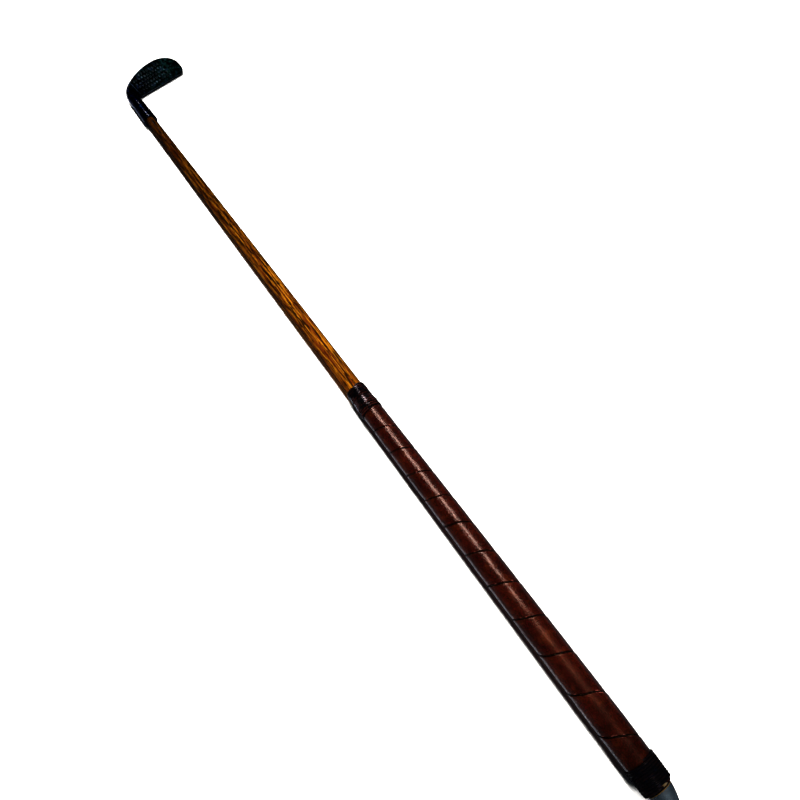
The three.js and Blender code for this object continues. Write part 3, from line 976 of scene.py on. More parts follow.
@dataclass
class Blade:
    """The blade's outline, measured in its face: along the top line and square down from it."""

    loft: float = math.radians(35)
    toe_slope: float = math.radians(20)
    crotch: Triple = (9.0, 927.0, -6.0)
    start: float = 5.0
    length: float = 83.0
    depth: float = 34.0
    heel_depth: float = 24.9
    sole_low: float = 50.0
    nose_depth: float = 13.0
    toe_corner: float = 10.0
    top_thickness: float = 4.0
    sole_thickness: float = 8.0
    toe_sole_thickness: float = 6.4
    sole_power: float = 2.2

    def __post_init__(self) -> None:
        """Works out the blade's directions."""
        slope, loft = self.toe_slope, self.loft
        sole_way = np.array([-math.sin(slope), math.cos(slope), 0.0])
        self.toe_way = np.array([math.cos(slope), math.sin(slope), 0.0])
        self.down = sole_way * math.cos(loft) + UP * math.sin(loft)
        self.normal = UP * math.cos(loft) - sole_way * math.sin(loft)

    def point(self, along: float, depth: float) -> np.ndarray:
        """Returns a point in the plane of the face."""
        return np.array(self.crotch) + self.toe_way * along + self.down * depth

    def top(self, along: float) -> float:
        """Returns the depth of the upper outline: the straight top line, then the rounded toe."""
        share = float(np.clip((along - self.length + self.toe_corner) / self.toe_corner, 0, 1))
        return self.nose_depth * (1 - math.sqrt(max(1 - share**2, 0)))

    def sole(self, along: float) -> float:
        """Works out the lower outline, one long curve from the heel round the toe.

        Args:
            along: Distance from the crotch along the top line.

        Returns:
            The outline's depth.
        """
        if along < self.sole_low:
            share = (self.sole_low - along) / (self.sole_low - self.start)
            return lerp(self.depth, self.heel_depth, share**2)
        share = min((along - self.sole_low) / (self.length - self.sole_low), 1.0)
        reach = (1 - share**self.sole_power) ** (1 / self.sole_power)
        return self.nose_depth + (self.depth - self.nose_depth) * reach


@dataclass
class Section:
    """One section of the head: a circle in the hosel, a flat plate with rounded edges in the blade."""

    inner: np.ndarray
    outer: np.ndarray
    front: np.ndarray
    top_thickness: float
    low_thickness: float
    inner_edge: float
    outer_edge: float

    def ring(self, count: int) -> np.ndarray:
        """Returns the section's points, closest together where it bends most.

        Args:
            count: Number of points.

        Returns:
            Points as [place in the ring, xyz].
        """
        across = self.outer - self.inner
        half = max(np.linalg.norm(across) / 2, 1e-3)
        square = unit(self.front - across * (self.front @ across) / (across @ across))
        edges = [min(self.inner_edge, half), min(self.outer_edge, half)]
        on_arc, on_line = 181, 121
        middle = on_line // 2 - 1
        bend = np.linspace(0, np.pi, on_arc)
        outer = np.stack([half - edges[1] + edges[1] * np.sin(bend), np.cos(bend)], axis=-1)
        inner = np.stack([-half + edges[0] - edges[0] * np.sin(bend), -np.cos(bend)], axis=-1)
        front, back = (
            np.stack([np.linspace(start[-1, 0], end[0, 0], on_line), np.full(on_line, side)], axis=-1)[1:-1]
            for start, end, side in ((inner, outer, 1.0), (outer, inner, -1.0))
        )
        outline = np.concatenate([front[middle:], outer, back, inner, front[:middle]])
        thickness = lerp(self.top_thickness, self.low_thickness, (outline[:, 0] / half + 1) / 2)
        flat = np.stack([outline[:, 0], thickness / 2 * (outline[:, 1] - 1)], axis=-1)
        loop = np.concatenate([flat, flat[:1]])
        steps = np.diff(loop, axis=0)
        lengths = np.linalg.norm(steps, axis=1)
        heading = np.unwrap(np.arctan2(steps[:, 1], steps[:, 0]))
        turning = np.abs(np.diff(heading, append=heading[0] - 2 * np.pi))
        weights = lengths + turning * lengths.sum() / (2 * np.pi)
        travelled = np.concatenate([[0], np.cumsum(weights)])
        wanted = np.linspace(0, travelled[-1], count, endpoint=False)
        x, z = (np.interp(wanted, travelled, loop[:, axis]) for axis in (0, 1))
        return (self.inner + self.outer) / 2 + np.outer(x, across / (2 * half)) + np.outer(z, square)


@dataclass(frozen=True)
class Punches:
    """Rows of round dots punched into the face, under an arch that keeps clear of the toe and the sole.

    A dot is the cap that sinks into the face from a ball above it, and the cap's own width and depth are given.
    """

    rows: int = 5
    columns: int = 11
    pitch: float = 4.7
    row_pitch: float = 4.6
    first: Pair = (13.2, 7.6)
    diameter: float = 2.1
    depth: float = 0.5
    skew: float = -0.28
    unevenness: float = 0.22
    arch_middle: float = 32.0
    arch_depth: float = 22.2
    arch_bend: float = 0.0062
    ball_radius: float = 1.35
    ball_height: float = 0.8
    cap_width: float = 2.18
    cap_depth: float = 0.55
    least_size: float = 0.88
    most_size: float = 1.12
    seed: int = 11
    size_seed: float = 7.0

    def tree(self) -> bpy.types.NodeTree:
        """Builds the tree that punches the dots.

        Returns:
            The tree.
        """
        s, given = new_group(
            "punched_dots", "Geometry", Geometry="Geometry", Columns=10, Rows=5, Pitch=4.7, Row_Pitch=4.6, Skew=0.0,
            Diameter=2.0, Depth=0.5, Unevenness=0.2, Seed=3, Place="Vector", Turn="Vector", Finish="Material",
        )
        body, columns, rows, pitch, row_pitch, skew, diameter, depth, unevenness, seed, place, turn, finish = given
        wide, high = (columns - 1.0) * pitch, (rows - 1.0) * row_pitch
        sizes = {"Size X": wide, "Size Y": high, "Vertices X": columns, "Vertices Y": rows}
        grid = s.put("GeometryNodeMeshGrid", sizes, "Mesh")
        at = s.put("GeometryNodeInputPosition")
        along, down = s.axis("X", at=at), s.axis("Y", at=at)
        box = {"Min": (-1.0, -1.0, 0.0), "Max": (1.0, 1.0, 0.0), "Seed": seed}
        stray = s.vector("SCALE", s.put("FunctionNodeRandomValue", box, data_type="FLOAT_VECTOR"), unevenness)
        lean = s.vector("ADD", s.combine((down + high * 0.5) * skew), stray)
        shift = s.vector("ADD", s.combine(wide * 0.5, high * 0.5), lean)
        dots = s.put("GeometryNodeSetPosition", {"Geometry": grid, "Offset": shift})
        off = along - self.arch_middle
        beyond = s.math("GREATER_THAN", down, self.arch_depth - off * off * self.arch_bend)
        kept = s.put("GeometryNodeDeleteGeometry", {"Geometry": dots, "Selection": beyond})
        ball = s.put("GeometryNodeMeshUVSphere", {"Segments": 20, "Rings": 14, "Radius": self.ball_radius}, "Mesh")
        raised = s.put("GeometryNodeTransform", {"Geometry": ball, "Translation": (0.0, 0.0, self.ball_height)})
        limits = {"Min_001": self.least_size, "Max_001": self.most_size, "Seed": seed + self.size_seed}
        size = s.put("FunctionNodeRandomValue", limits, data_type="FLOAT")
        share = diameter / self.cap_width
        scale = s.vector("SCALE", s.combine(share, share, depth / self.cap_depth), size)
        punches = s.put("GeometryNodeInstanceOnPoints", {"Points": kept, "Instance": raised, "Scale": scale})
        turned_way = s.put("FunctionNodeEulerToRotation", {0: turn})
        placed = s.put("GeometryNodeTransform", {"Geometry": punches, "Translation": place, "Rotation": turned_way})
        mark = {"Geometry": s.put("GeometryNodeRealizeInstances", {"Geometry": placed}), "Name": "dot", "Value": 1.0}
        tools = s.put("GeometryNodeStoreNamedAttribute", mark, data_type="FLOAT", domain="FACE")
        both = {"Mesh 1": body, "Mesh 2": tools}
        cut = s.put("GeometryNodeMeshBoolean", both, "Mesh", operation="DIFFERENCE", solver="EXACT")
        return s.close_mesh(cut, finish)

    def punch(self, head: bpy.types.Object, blade: Blade, finish: bpy.types.Material) -> None:
        """Punches the dots into the head's face.

        Args:
            head: The head, in millimetres on the club.
            blade: The blade that the face is part of.
            finish: The head's material.
        """
        turn = Matrix((blade.toe_way, blade.down, np.cross(blade.toe_way, blade.down))).transposed().to_euler()
        run_tree(
            head, self.tree(), Columns=self.columns, Rows=self.rows, Pitch=self.pitch, Row_Pitch=self.row_pitch,
            Skew=self.skew, Diameter=self.diameter, Depth=self.depth, Unevenness=self.unevenness, Seed=self.seed,
            Place=tuple(blade.point(*self.first)), Turn=tuple(turn), Finish=finish,
        )


@dataclass
class Head:
    """The forged head: its hosel with the socket, the neck, and the blade with its punched face."""

    blade: Blade = field(default_factory=Blade)
    punches: Punches = field(default_factory=Punches)
    rim_place: float = 858.0
    rim_diameter: float = 16.6
    waist_diameter: float = 15.2
    rim_rounding: float = 1.1
    straight_length: float = 42.0
    inner_pull: float = 21.0
    heel_pull: float = 26.0
    top_pull: float = 5.0
    sole_pull: float = 14.0
    top_edge: float = 1.0
    sole_edge: float = 2.2
    nose_rounding: float = 1.8
    nose_end: float = math.radians(89.2)
    socket_mouth: float = 6.0
    socket_end: float = 3.8
    socket_depth: float = 51.3
    drill_tip: Pair = (0.4, 3.4)
    mouth_bevel: tuple[Pair, ...] = ((0.0, 0.5), (0.35, 0.1))
    pin_distance: float = 14.0
    pin_end: tuple[Pair, ...] = ((POLE, 0.1), (0.5, 0.08), (0.85, 0.02), (1.08, -0.1), (1.2, -0.35))
    ring_points: int = 168

    def radius(self, distance: float) -> float:
        """Returns the hosel's outer radius at a distance from its rim."""
        share = smoothstep(distance, self.rim_rounding, self.straight_length)
        return lerp(self.rim_diameter, self.waist_diameter, share) / 2

    def _round_ring(self, distance: float, radius: float) -> np.ndarray:
        """Returns a round ring about the shaft's axis, at a distance from the hosel's rim."""
        inner, outer = (np.array([side * radius, self.rim_place + distance, radius]) for side in (1, -1))
        return Section(inner, outer, UP, 2 * radius, 2 * radius, radius, radius).ring(self.ring_points)

    def _hosel(self) -> list[np.ndarray]:
        """Works out the hosel, from the bottom of the socket out over the rim to the neck.

        Returns:
            Its rings.
        """
        end, mouth, depth, rounding = self.socket_end, self.socket_mouth, self.socket_depth, self.rim_rounding
        tip_radius, tip_length = self.drill_tip
        places = [(depth + tip_length, tip_radius), (depth, end)]
        places += [(depth * (1 - k / 6), lerp(end, mouth, k / 6)) for k in range(1, 6)]
        places += [(inside, mouth + wider) for wider, inside in self.mouth_bevel]
        for angle in np.linspace(0, math.pi / 2, 7):
            radius = self.rim_diameter / 2 - rounding * (1 - math.sin(angle))
            places.append((rounding * (1 - math.cos(angle)), radius))
        places += [(d, self.radius(d)) for d in np.linspace(rounding, self.straight_length, 22)[1:]]
        return [self._round_ring(distance, radius) for distance, radius in places]

    def _neck(self) -> list[np.ndarray]:
        """Works out the neck, which fans round the crotch while its circle flattens into the blade.

        Returns:
            Its rings.
        """
        blade, radius = self.blade, self.waist_diameter / 2
        start = self.rim_place + self.straight_length
        slope = 2 * (blade.depth - blade.heel_depth) / (blade.sole_low - blade.start)
        heel_way = unit(blade.toe_way + blade.down * slope)
        rails = []
        for side, pull, depth, way, back in (
            (1, self.inner_pull, blade.top(blade.start), blade.toe_way, self.top_pull),
            (-1, self.heel_pull, blade.sole(blade.start), heel_way, self.sole_pull),
        ):
            first, end = np.array([side * radius, start, radius]), blade.point(blade.start, depth)
            rails.append((first, first + [0.0, pull, 0.0], end - way * back, end))
        rings = []
        for share in np.linspace(0, 1, 72)[1:-1]:
            form = float(smoothstep(share, 0, 1))
            rest = 1 - share
            weights = np.array([rest**3, 3 * share * rest**2, 3 * share**2 * rest, share**3])
            inner, outer = (weights @ np.array(rail) for rail in rails)
            half = np.linalg.norm(outer - inner) / 2
            rings.append(Section(
                inner, outer, lerp(UP, blade.normal, form),
                lerp(2 * radius, blade.top_thickness, form), lerp(2 * radius, blade.sole_thickness, form),
                lerp(half, self.top_edge, form), lerp(half, self.sole_edge, form),
            ).ring(self.ring_points))
        return rings

    def _blade(self) -> list[np.ndarray]:
        """Works out the blade, in rings square to the top line that close round the toe's nose.

        Returns:
            Its rings.
        """
        blade = self.blade
        corner = blade.length - blade.toe_corner
        places = list(np.linspace(blade.start, corner, 64))
        places += [corner + blade.toe_corner * math.sin(a) for a in np.linspace(0, self.nose_end, 26)[1:]]
        rings = []
        for along in places:
            near = min((blade.length - along) / self.nose_rounding, 1.0)
            shrink = math.sqrt(max(1 - (1 - near) ** 2, 0.0))
            low = lerp(blade.sole_thickness, blade.toe_sole_thickness, along / blade.length)
            thick = np.array([blade.top_thickness, low])
            sink = blade.normal * (thick.mean() / 2 * (1 - shrink))
            inner, outer = (blade.point(along, edge(along)) - sink for edge in (blade.top, blade.sole))
            edges = (self.top_edge, self.sole_edge)
            rings.append(Section(inner, outer, blade.normal, *(thick * shrink), *edges).ring(self.ring_points))
        return rings

    def build(self, shop: Workshop) -> None:
        """Makes the head and the pin that holds it to the shaft.

        Args:
            shop: How the club lies, and the finishes.
        """
        hosel, neck, blade = self._hosel(), self._neck(), self._blade()
        rings = np.array(hosel + neck + blade)
        head = skin("forged_head", rings)
        # The ring where the neck meets the blade, on which the iron's finish paints a reflection line.
        crease = np.zeros((len(rings), self.ring_points))
        crease[len(hosel) + len(neck) - 1] = 1.0
        store(head, "crease", np.append(crease, (0.0, 0.0)))
        self.punches.punch(head, self.blade, shop.materials[Finish.IRON])
        lay_down(head, shop.club, sharp=28.0)
        mark_wear(head, 0.5, 1.6)
        shop.hand_over(head, Finish.IRON, "iron_head")
        self._pin(shop)

    def _pin(self, shop: Workshop) -> None:
        """Makes the pin, with both ends peened over flush with the hosel.

        Args:
            shop: How the club lies, and the finishes.
        """
        reach = self.radius(self.pin_distance)
        profile = [(radius, reach + past) for radius, past in self.pin_end]
        profile += [(radius, -y) for radius, y in reversed(profile)]
        pin = turned("peened_pin", profile, sides=40, rough=0.03, seed=5)
        place = Matrix.Translation((0, self.rim_place + self.pin_distance, 0))
        pin.data.transform(place @ Euler((0, 0, -math.pi / 2)).to_matrix().to_4x4())
        lay_down(pin, shop.club)
        mark_wear(pin, 0.9, 3.0)
        shop.hand_over(pin, Finish.IRON, "hosel_pin")


@dataclass
class Shaft:
    """The hickory shaft, from its butt under the cap to the tenon in the hosel."""

    length: float = 858.0
    butt_diameter: float = 16.0
    rim_diameter: float = 11.8
    taper_power: float = 2.6
    butt_bevel: float = 0.6
    tenon_length: float = 51.0
    tenon_tip: float = 7.4
    tip_bevel: float = 0.5
    straight_end: float = 4.0
    stations: int = 150

    def radius(self, y: Number) -> Number:
        """Returns the wood's radius at a distance from its butt end."""
        share = np.clip(np.asarray(y, float) / self.length, 0, 1)
        return lerp(self.butt_diameter, self.rim_diameter, share**self.taper_power) / 2

    def build(self, shop: Workshop) -> None:
        """Makes the shaft.

        Args:
            shop: How the club lies, and the finishes.
        """
        butt, tip, end = float(self.radius(0)), self.tenon_tip / 2, self.length + self.tenon_length
        profile = [(POLE, 0.0), (butt - self.butt_bevel, 0.0), (butt, self.butt_bevel)]
        for y in np.linspace(self.straight_end, self.length, self.stations):
            profile.append((float(self.radius(y)), float(y)))
        profile += [(tip, end - self.tip_bevel), (tip - self.tip_bevel, end), (POLE, end)]
        shaft = lay_down(turned("shaft_wood", profile, sides=96, rough=0.035, seed=8), shop.club)
        shop.hand_over(shaft, Finish.HICKORY, "hickory_shaft")


@dataclass
class Winding:
    """Winds flat-cut pieces about the shaft: a flat piece's x is its turns times the girth, and z its radius."""

    girth: float = 100.0
    tree: bpy.types.NodeTree = field(init=False)

    def __post_init__(self) -> None:
        """Builds the tree that rolls a flat piece up and makes its surface uneven."""
        s, (body, girth, height, size, depth, seed, finish) = new_group(
            "wind_about_shaft", "Geometry", Geometry="Geometry", Girth=100.0, Pucker_Height=0.05, Pucker_Size=8.0,
            Ply_Depth=0.0, Seed=1.0, Finish="Material",
        )
        at = s.put("GeometryNodeInputPosition")
        radius, angle = s.axis("Z", at=at), s.axis("X", at=at) / girth * (-2 * math.pi)
        x, z = (radius * s.math(turn, angle) for turn in ("SINE", "COSINE"))
        wound = s.put("GeometryNodeSetPosition", {"Geometry": body, "Position": s.combine(x, s.axis("Y", at=at), z)})
        shape = {"Vector": at, "W": seed, "Scale": 1.0 / size, "Detail": 3.0}
        pucker = s.put("ShaderNodeTexNoise", shape, "Fac", noise_dimensions="4D")
        ply = s.put("GeometryNodeInputNamedAttribute", {"Name": "ply"}, "Attribute", data_type="FLOAT")
        groove = s.math("POWER", abs(s.math("COSINE", ply * 0.5)), 0.6)
        rise = (pucker - 0.5) * (height * 2.0) + (groove - 1.0) * depth
        offset = s.vector("SCALE", s.put("GeometryNodeInputNormal"), rise)
        uneven = s.put("GeometryNodeSetPosition", {"Geometry": wound, "Offset": offset})
        self.tree = s.close_mesh(uneven, finish)

    def wind(self, flat: bpy.types.Object, **values: object) -> bpy.types.Object:
        """Winds a flat piece, with the tree's inputs named with _ for a space."""
        face_outwards(flat)
        return run_tree(flat, self.tree, Girth=self.girth, **values)


@dataclass(frozen=True)
class Twine:
    """One whipping: a waxed twine of three plies, pulled flat, each loop against the last."""

    name: str
    node: str
    start: float
    pitch: float
    thickness: float
    loops: int
    seed: int
    around: int = 20
    steps: int = 110
    overlap: float = 0.05
    sunk: float = 0.03
    first_share: float = 0.35
    usual_pitch: float = 2.4
    end_size: float = 0.4
    end_growth: float = 5.0
    swells: tuple[Pair, ...] = ((0.05, 2.1), (0.03, 5.9))
    wanders: tuple[Pair, ...] = ((0.06, 3.3), (0.03, 8.7))
    plies: int = 3
    ply_length: float = 4.2
    ply_depth: float = 0.16
    pucker_height: float = 0.05
    pucker_size: float = 4.0

    def flat(self, grip: "Grip", girth: float) -> bpy.types.Object:
        """Returns the twine laid out flat, and still to be wound.

        Args:
            grip: The grip that it is wound on.
            girth: The flat length of one turn.

        Returns:
            The new object, with its plies' twist as an attribute.
        """
        angles = np.linspace(0, 2 * np.pi, self.around, endpoint=False)
        phases = np.random.default_rng(self.seed).uniform(0, 2 * np.pi, 4)
        rings, flats, twists = [], [], []
        for t in np.arange(0, self.loops + 1 / self.steps, 1 / self.steps):
            ending = min(1.0, self.end_size + self.end_growth * min(t, self.loops - t))
            swell = 1 + waves(t, self.swells, phases)
            wander = waves(t, self.wanders, phases[2:]) * self.pitch / self.usual_pitch
            middle = self.start + self.pitch * (t + self.first_share) + wander
            height = self.thickness * swell * ending
            width = (self.pitch + self.overlap) * ending
            seat = float(grip.seat(middle)) - self.sunk
            y, r = middle + width / 2 * np.sin(angles), seat + height / 2 * (1 + np.cos(angles))
            rings.append(np.stack([np.full(self.around, t * girth), y, r], axis=-1))
            length = t * 2 * np.pi * (seat + height / 2)
            flats.append(np.stack([np.full(self.around + 1, length), np.linspace(0, 1, self.around + 1)], axis=-1))
            twists.append(self.plies * angles + length * 2 * np.pi / self.ply_length)
        flat = skin(self.name, np.array(rings), np.array(flats))
        store(flat, "ply", np.concatenate([np.array(twists).ravel(), np.zeros(2)]))
        return flat

    def build(self, grip: "Grip", winding: Winding, shop: Workshop) -> None:
        """Makes the whipping.

        Args:
            grip: The grip that it is wound on.
            winding: The winding tree.
            shop: How the club lies, and the finishes.
        """
        wound = winding.wind(
            self.flat(grip, winding.girth), Pucker_Height=self.pucker_height, Pucker_Size=self.pucker_size,
            Ply_Depth=self.ply_depth, Seed=float(self.seed), Finish=shop.materials[Finish.TWINE],
        )
        shop.hand_over(lay_down(wound, shop.club, sharp=60.0), Finish.TWINE, self.node)


@dataclass
class Grip:
    """The grip: cloth listing, the leather strip wound over it, and the twine at both ends."""

    shaft: Shaft
    length: float = 341.0
    butt_diameter: float = 21.9
    top_diameter: float = 19.2
    barrel_power: float = 1.7
    end_diameter: float = 19.8
    end_taper: float = 55.0
    top_taper: float = 9.2
    top_skive: float = 3.2
    leather: float = 1.1
    skived: float = 0.45
    skived_gap: float = 0.2
    least_gap: float = 0.05
    seam_start: float = 3.1
    pitch_butt: float = 30.9
    pitch_top: float = 24.0
    seam_gap: float = 0.42
    seam_waves: tuple[Pair, ...] = ((0.32, 5.3), (0.2, 13.7), (0.09, 41.0))
    seam_phases: Triple = (1.0, 0.0, 2.0)
    strip_from: float = 0.2
    strip_past: float = 0.4
    least_width: float = 1.2
    turn_steps: int = 96
    turn_length: float = 68.0
    edge_rounding: float = 0.5
    edge_drop: float = 0.9
    edge_steps: tuple[float, ...] = (0.0, 0.02, 0.1, 0.3, 0.65, 1.0, 1.8, 3.0, 4.6)
    crown: float = 0.1
    lip: float = 0.16
    lip_place: float = 1.5
    lip_width: float = 1.1
    dip_width: float = 2.4
    full_edge_from: float = 10.0
    full_lip_from: float = 12.0
    undercut: float = 0.1
    least_leather: float = 0.05
    grime_width: float = 0.9
    pucker_height: float = 0.07
    pucker_size: float = 7.0
    listing_start: float = 0.5
    listing_end: float = 307.0
    listing_gaps: Pair = (0.12, 0.02)
    listing_rough: float = 0.05
    top_lap: float = 9.5
    step_length: float = 6.0

    def outer(self, y: Number) -> Number:
        """Works out the leather's outer radius, drawn in at the butt and skived away at the top.

        Args:
            y: Distance from the butt.

        Returns:
            The radius.
        """
        y = np.asarray(y, float)
        share = np.clip(y / self.length, 0, 1.1) ** self.barrel_power
        body = lerp(self.butt_diameter, self.top_diameter, share) / 2
        ending = 1 - np.clip(y / self.end_taper, 0, 1)
        drawn = body - (self.butt_diameter - self.end_diameter) / 2 * ending**2
        thin = self.shaft.radius(y) + self.skived_gap + self.skived
        begins = self.length - self.top_taper
        return lerp(drawn, thin, smoothstep(y, begins, begins + self.top_skive))

    def inner(self, y: Number) -> Number:
        """Returns the leather's inner radius."""
        return np.maximum(self.outer(y) - self.leather, self.shaft.radius(y) + self.least_gap)

    def seam(self, turns: Number) -> Number:
        """Works out where the seam is, with a hand's unevenness.

        Args:
            turns: Turns from the butt.

        Returns:
            Its distance from the butt.
        """
        count = 2 * (self.length - self.seam_start) / (self.pitch_butt + self.pitch_top)
        closer = (self.pitch_butt - self.pitch_top) * turns**2 / (2 * count)
        even = self.seam_start + self.pitch_butt * turns - closer
        return even + waves(turns, self.seam_waves, self.seam_phases)

    def seat(self, y: Number) -> Number:
        """Returns what the twine lies on: the leather's end and, past it, the bare wood."""
        on_wood = smoothstep(y, self.length, self.length + self.step_length)
        return lerp(self.outer(np.minimum(y, self.length)), self.shaft.radius(y), on_wood)

    def _strip(self, girth: float) -> bpy.types.Object:
        """Cuts the leather strip flat, with skived edges and ends and still to be wound.

        Args:
            girth: The flat length of one turn.

        Returns:
            The new object.
        """
        turns = np.arange(-1.0, 14.0, 1 / self.turn_steps)
        low = np.maximum(self.seam(turns), self.strip_from) + self.seam_gap / 2
        high = np.minimum(self.seam(turns + 1), self.length + self.strip_past) - self.seam_gap / 2
        wide = high - low > self.least_width
        rounding, near = self.edge_rounding, np.array(self.edge_steps)
        rings, flats, seams = [], [], []
        for t, a, b in zip(turns[wide], low[wide], high[wide]):
            width = b - a
            reach = near * rounding * min(1.0, width / self.full_edge_from)
            inside = np.linspace(a + reach[-1], b - reach[-1], 9)[1:-1]
            places = np.concatenate([a + reach, inside, b - reach[::-1]])
            gaps = np.minimum(places - a, b - places)
            drop = rounding - np.sqrt(np.maximum(rounding**2 - np.maximum(rounding - gaps, 0) ** 2, 0))
            crown = self.crown * np.sin(np.pi * (places - a) / width)
            lip = self.lip * np.exp(-(((b - places) - self.lip_place) / self.lip_width) ** 2)
            lip -= self.lip * np.exp(-((places - a) / self.dip_width) ** 2)
            lip *= min(1.0, width / self.full_lip_from)
            outer = self.outer(places) - drop * self.edge_drop + crown + lip
            below = np.array([b - self.undercut, (a + b) / 2, a + self.undercut])
            under = np.minimum(self.inner(below), outer[[-1, len(places) // 2, 0]] - self.least_leather)
            y, r = np.concatenate([places, below]), np.concatenate([outer, under])
            rings.append(np.stack([np.full(len(y), t * girth), y, r], axis=-1))
            flats.append(np.stack([np.full(len(y) + 1, t * self.turn_length), np.append(y, y[0]) - a], axis=-1))
            seams.append(np.concatenate([1 - smoothstep(gaps, 0.0, self.grime_width), np.ones(3)]))
        strip = skin("leather_strip", np.array(rings), np.array(flats))
        store(strip, "seam", np.concatenate([np.array(seams).ravel(), np.ones(2)]))
        return strip

    def _leather(self, winding: Winding, shop: Workshop) -> None:
        """Makes the wound leather.

        Args:
            winding: The winding tree.
            shop: How the club lies, and the finishes.
        """
        strip = winding.wind(
            self._strip(winding.girth), Pucker_Height=self.pucker_height, Pucker_Size=self.pucker_size,
            Ply_Depth=0.0, Seed=4.0, Finish=shop.materials[Finish.CALF],
        )
        lay_down(strip, shop.club, sharp=50.0)
        mark_wear(strip, 0.25, 1.2)
        shop.hand_over(strip, Finish.CALF, "grip_leather")

    def _cloth(self, shop: Workshop) -> None:
        """Makes the cloth listing, a closed sleeve under the leather, from sections round the axis.

        Args:
            shop: How the club lies, and the finishes.
        """
        places = np.linspace(self.listing_start, self.listing_end, 90)
        draw = np.random.default_rng(21)
        over, under = self.listing_gaps
        loop = [(float(self.inner(y)) - over + draw.uniform(-self.listing_rough, 0.0), float(y)) for y in places]
        loop += [(float(self.shaft.radius(y)) + under, float(y)) for y in places[::-1]]
        sides, count = 64, len(loop)
        angles = np.linspace(0, 2 * np.pi, sides, endpoint=False)
        points = np.array([(r * math.sin(a), y, r * math.cos(a)) for a in angles for r, y in loop])
        faces, uv = [], []
        for k in range(sides):
            m = (k + 1) % sides
            for i in range(count):
                j = (i + 1) % count
                faces.append((k * count + i, k * count + j, m * count + j, m * count + i))
                here, there = loop[i][1], loop[j][1]
                uv += [(k, here), (k, there), (k + 1, there), (k + 1, here)]
        cloth = lay_down(new_mesh("listing_cloth", points, faces, np.array(uv, float)), shop.club)
        shop.hand_over(cloth, Finish.LISTING, "grip_underlisting")

    def build(self, shop: Workshop) -> None:
        """Makes the grip's pieces and dresses the small tack under the twine.

        Args:
            shop: How the club lies, and the finishes.
        """
        winding = Winding()
        self._cloth(shop)
        self._leather(winding, shop)
        for twine in (
            Twine("top_twine", "top_whipping", self.length - self.top_lap, 2.4, 1.62, loops=12, seed=31),
            Twine("butt_twine", "butt_whipping", 0.7, 1.65, 1.1, loops=10, seed=47),
        ):
            twine.build(self, winding, shop)
        shop.dress(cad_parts["strip_tack"], Finish.BRASS)


@dataclass
class ButtEnd:
    """The hard leather cap over the end of the shaft, and the domed tack that holds it.

    The cap's outline is given as shares of its diameter's half and of its thickness, from the shaft outwards.
    """

    diameter: float = 24.6
    thickness: float = 12.7
    gap: float = 0.3
    recess: float = 0.9
    recess_bevel: Pair = (0.25, 0.3)
    recess_draft: float = 0.1
    inner_share: float = 0.5
    corner: float = 0.5
    tack_diameter: float = 7.0
    tack_thickness: float = 1.3
    tack_length: float = 17.0
    tack_point: float = 2.4
    tack_gap: float = 0.05
    tack_edge: float = 0.02
    tack_bevel: float = 0.2
    shank_radius: float = 0.9
    dome_end: float = 1.555
    outline: tuple[Pair, ...] = (
        (0.69, 0.0), (0.705, 0.05), (0.69, 0.15), (0.655, 0.3), (0.61, 0.45),
        (0.56, 0.6), (0.51, 0.74), (0.46, 0.87), (0.42, 0.96), (0.39, 1.0),
    )

    def build(self, shop: Workshop) -> None:
        """Makes the cap and the tack.

        Args:
            shop: How the club lies, and the finishes.
        """
        radius, head, end = self.diameter / 2, self.tack_diameter / 2, -self.gap - self.thickness
        seat, floor = head + self.gap, end + self.recess
        wider, deep = self.recess_bevel
        profile = [(POLE, -self.gap), (radius * self.inner_share, -self.gap)]
        profile += [(radius * wide, -self.gap - self.thickness * far) for wide, far in self.outline]
        profile += [(seat + wider, end), (seat, end + deep), (seat - self.recess_draft, floor), (POLE, floor)]
        shape = rounded(profile, self.corner, 5)
        cap = lay_down(turned("butt_cap_leather", shape, sides=112, rough=0.05, seed=13), shop.club, sharp=50.0)
        mark_wear(cap, 0.35, 1.3)
        shop.hand_over(cap, Finish.CAP, "butt_cap")
        base = floor - self.tack_gap
        under = base + self.tack_edge
        tack = [(POLE, self.tack_length), (self.shank_radius, self.tack_length - self.tack_point)]
        tack += [(self.shank_radius, under), (head - self.tack_bevel, under)]
        for angle in np.linspace(0.0, self.dome_end, 12):
            tack.append((head * math.cos(angle), base - self.tack_thickness * math.sin(angle)))
        made = lay_down(turned("domed_tack", tack, sides=64, rough=0.015, seed=3), shop.club)
        shop.hand_over(made, Finish.BRASS, "butt_tack")


@dataclass(frozen=True)
class Light:
    """A soft rectangular light, in metres and watts. Unturned it shines straight down."""

    name: str
    place: Triple
    turn: Triple
    size: Pair
    power: float
    colour: Colour

    def hang(self) -> None:
        """Hangs the light where the camera doesn't see it."""
        data = bpy.data.lights.new(self.name, "AREA")
        data.shape, data.energy, data.color = "RECTANGLE", self.power, self.colour
        data.size, data.size_y = self.size
        light = bpy.data.objects.new(self.name, data)
        light.visible_camera = False
        light.location, light.rotation_euler = self.place, self.turn
        bpy.context.scene.collection.objects.link(light)


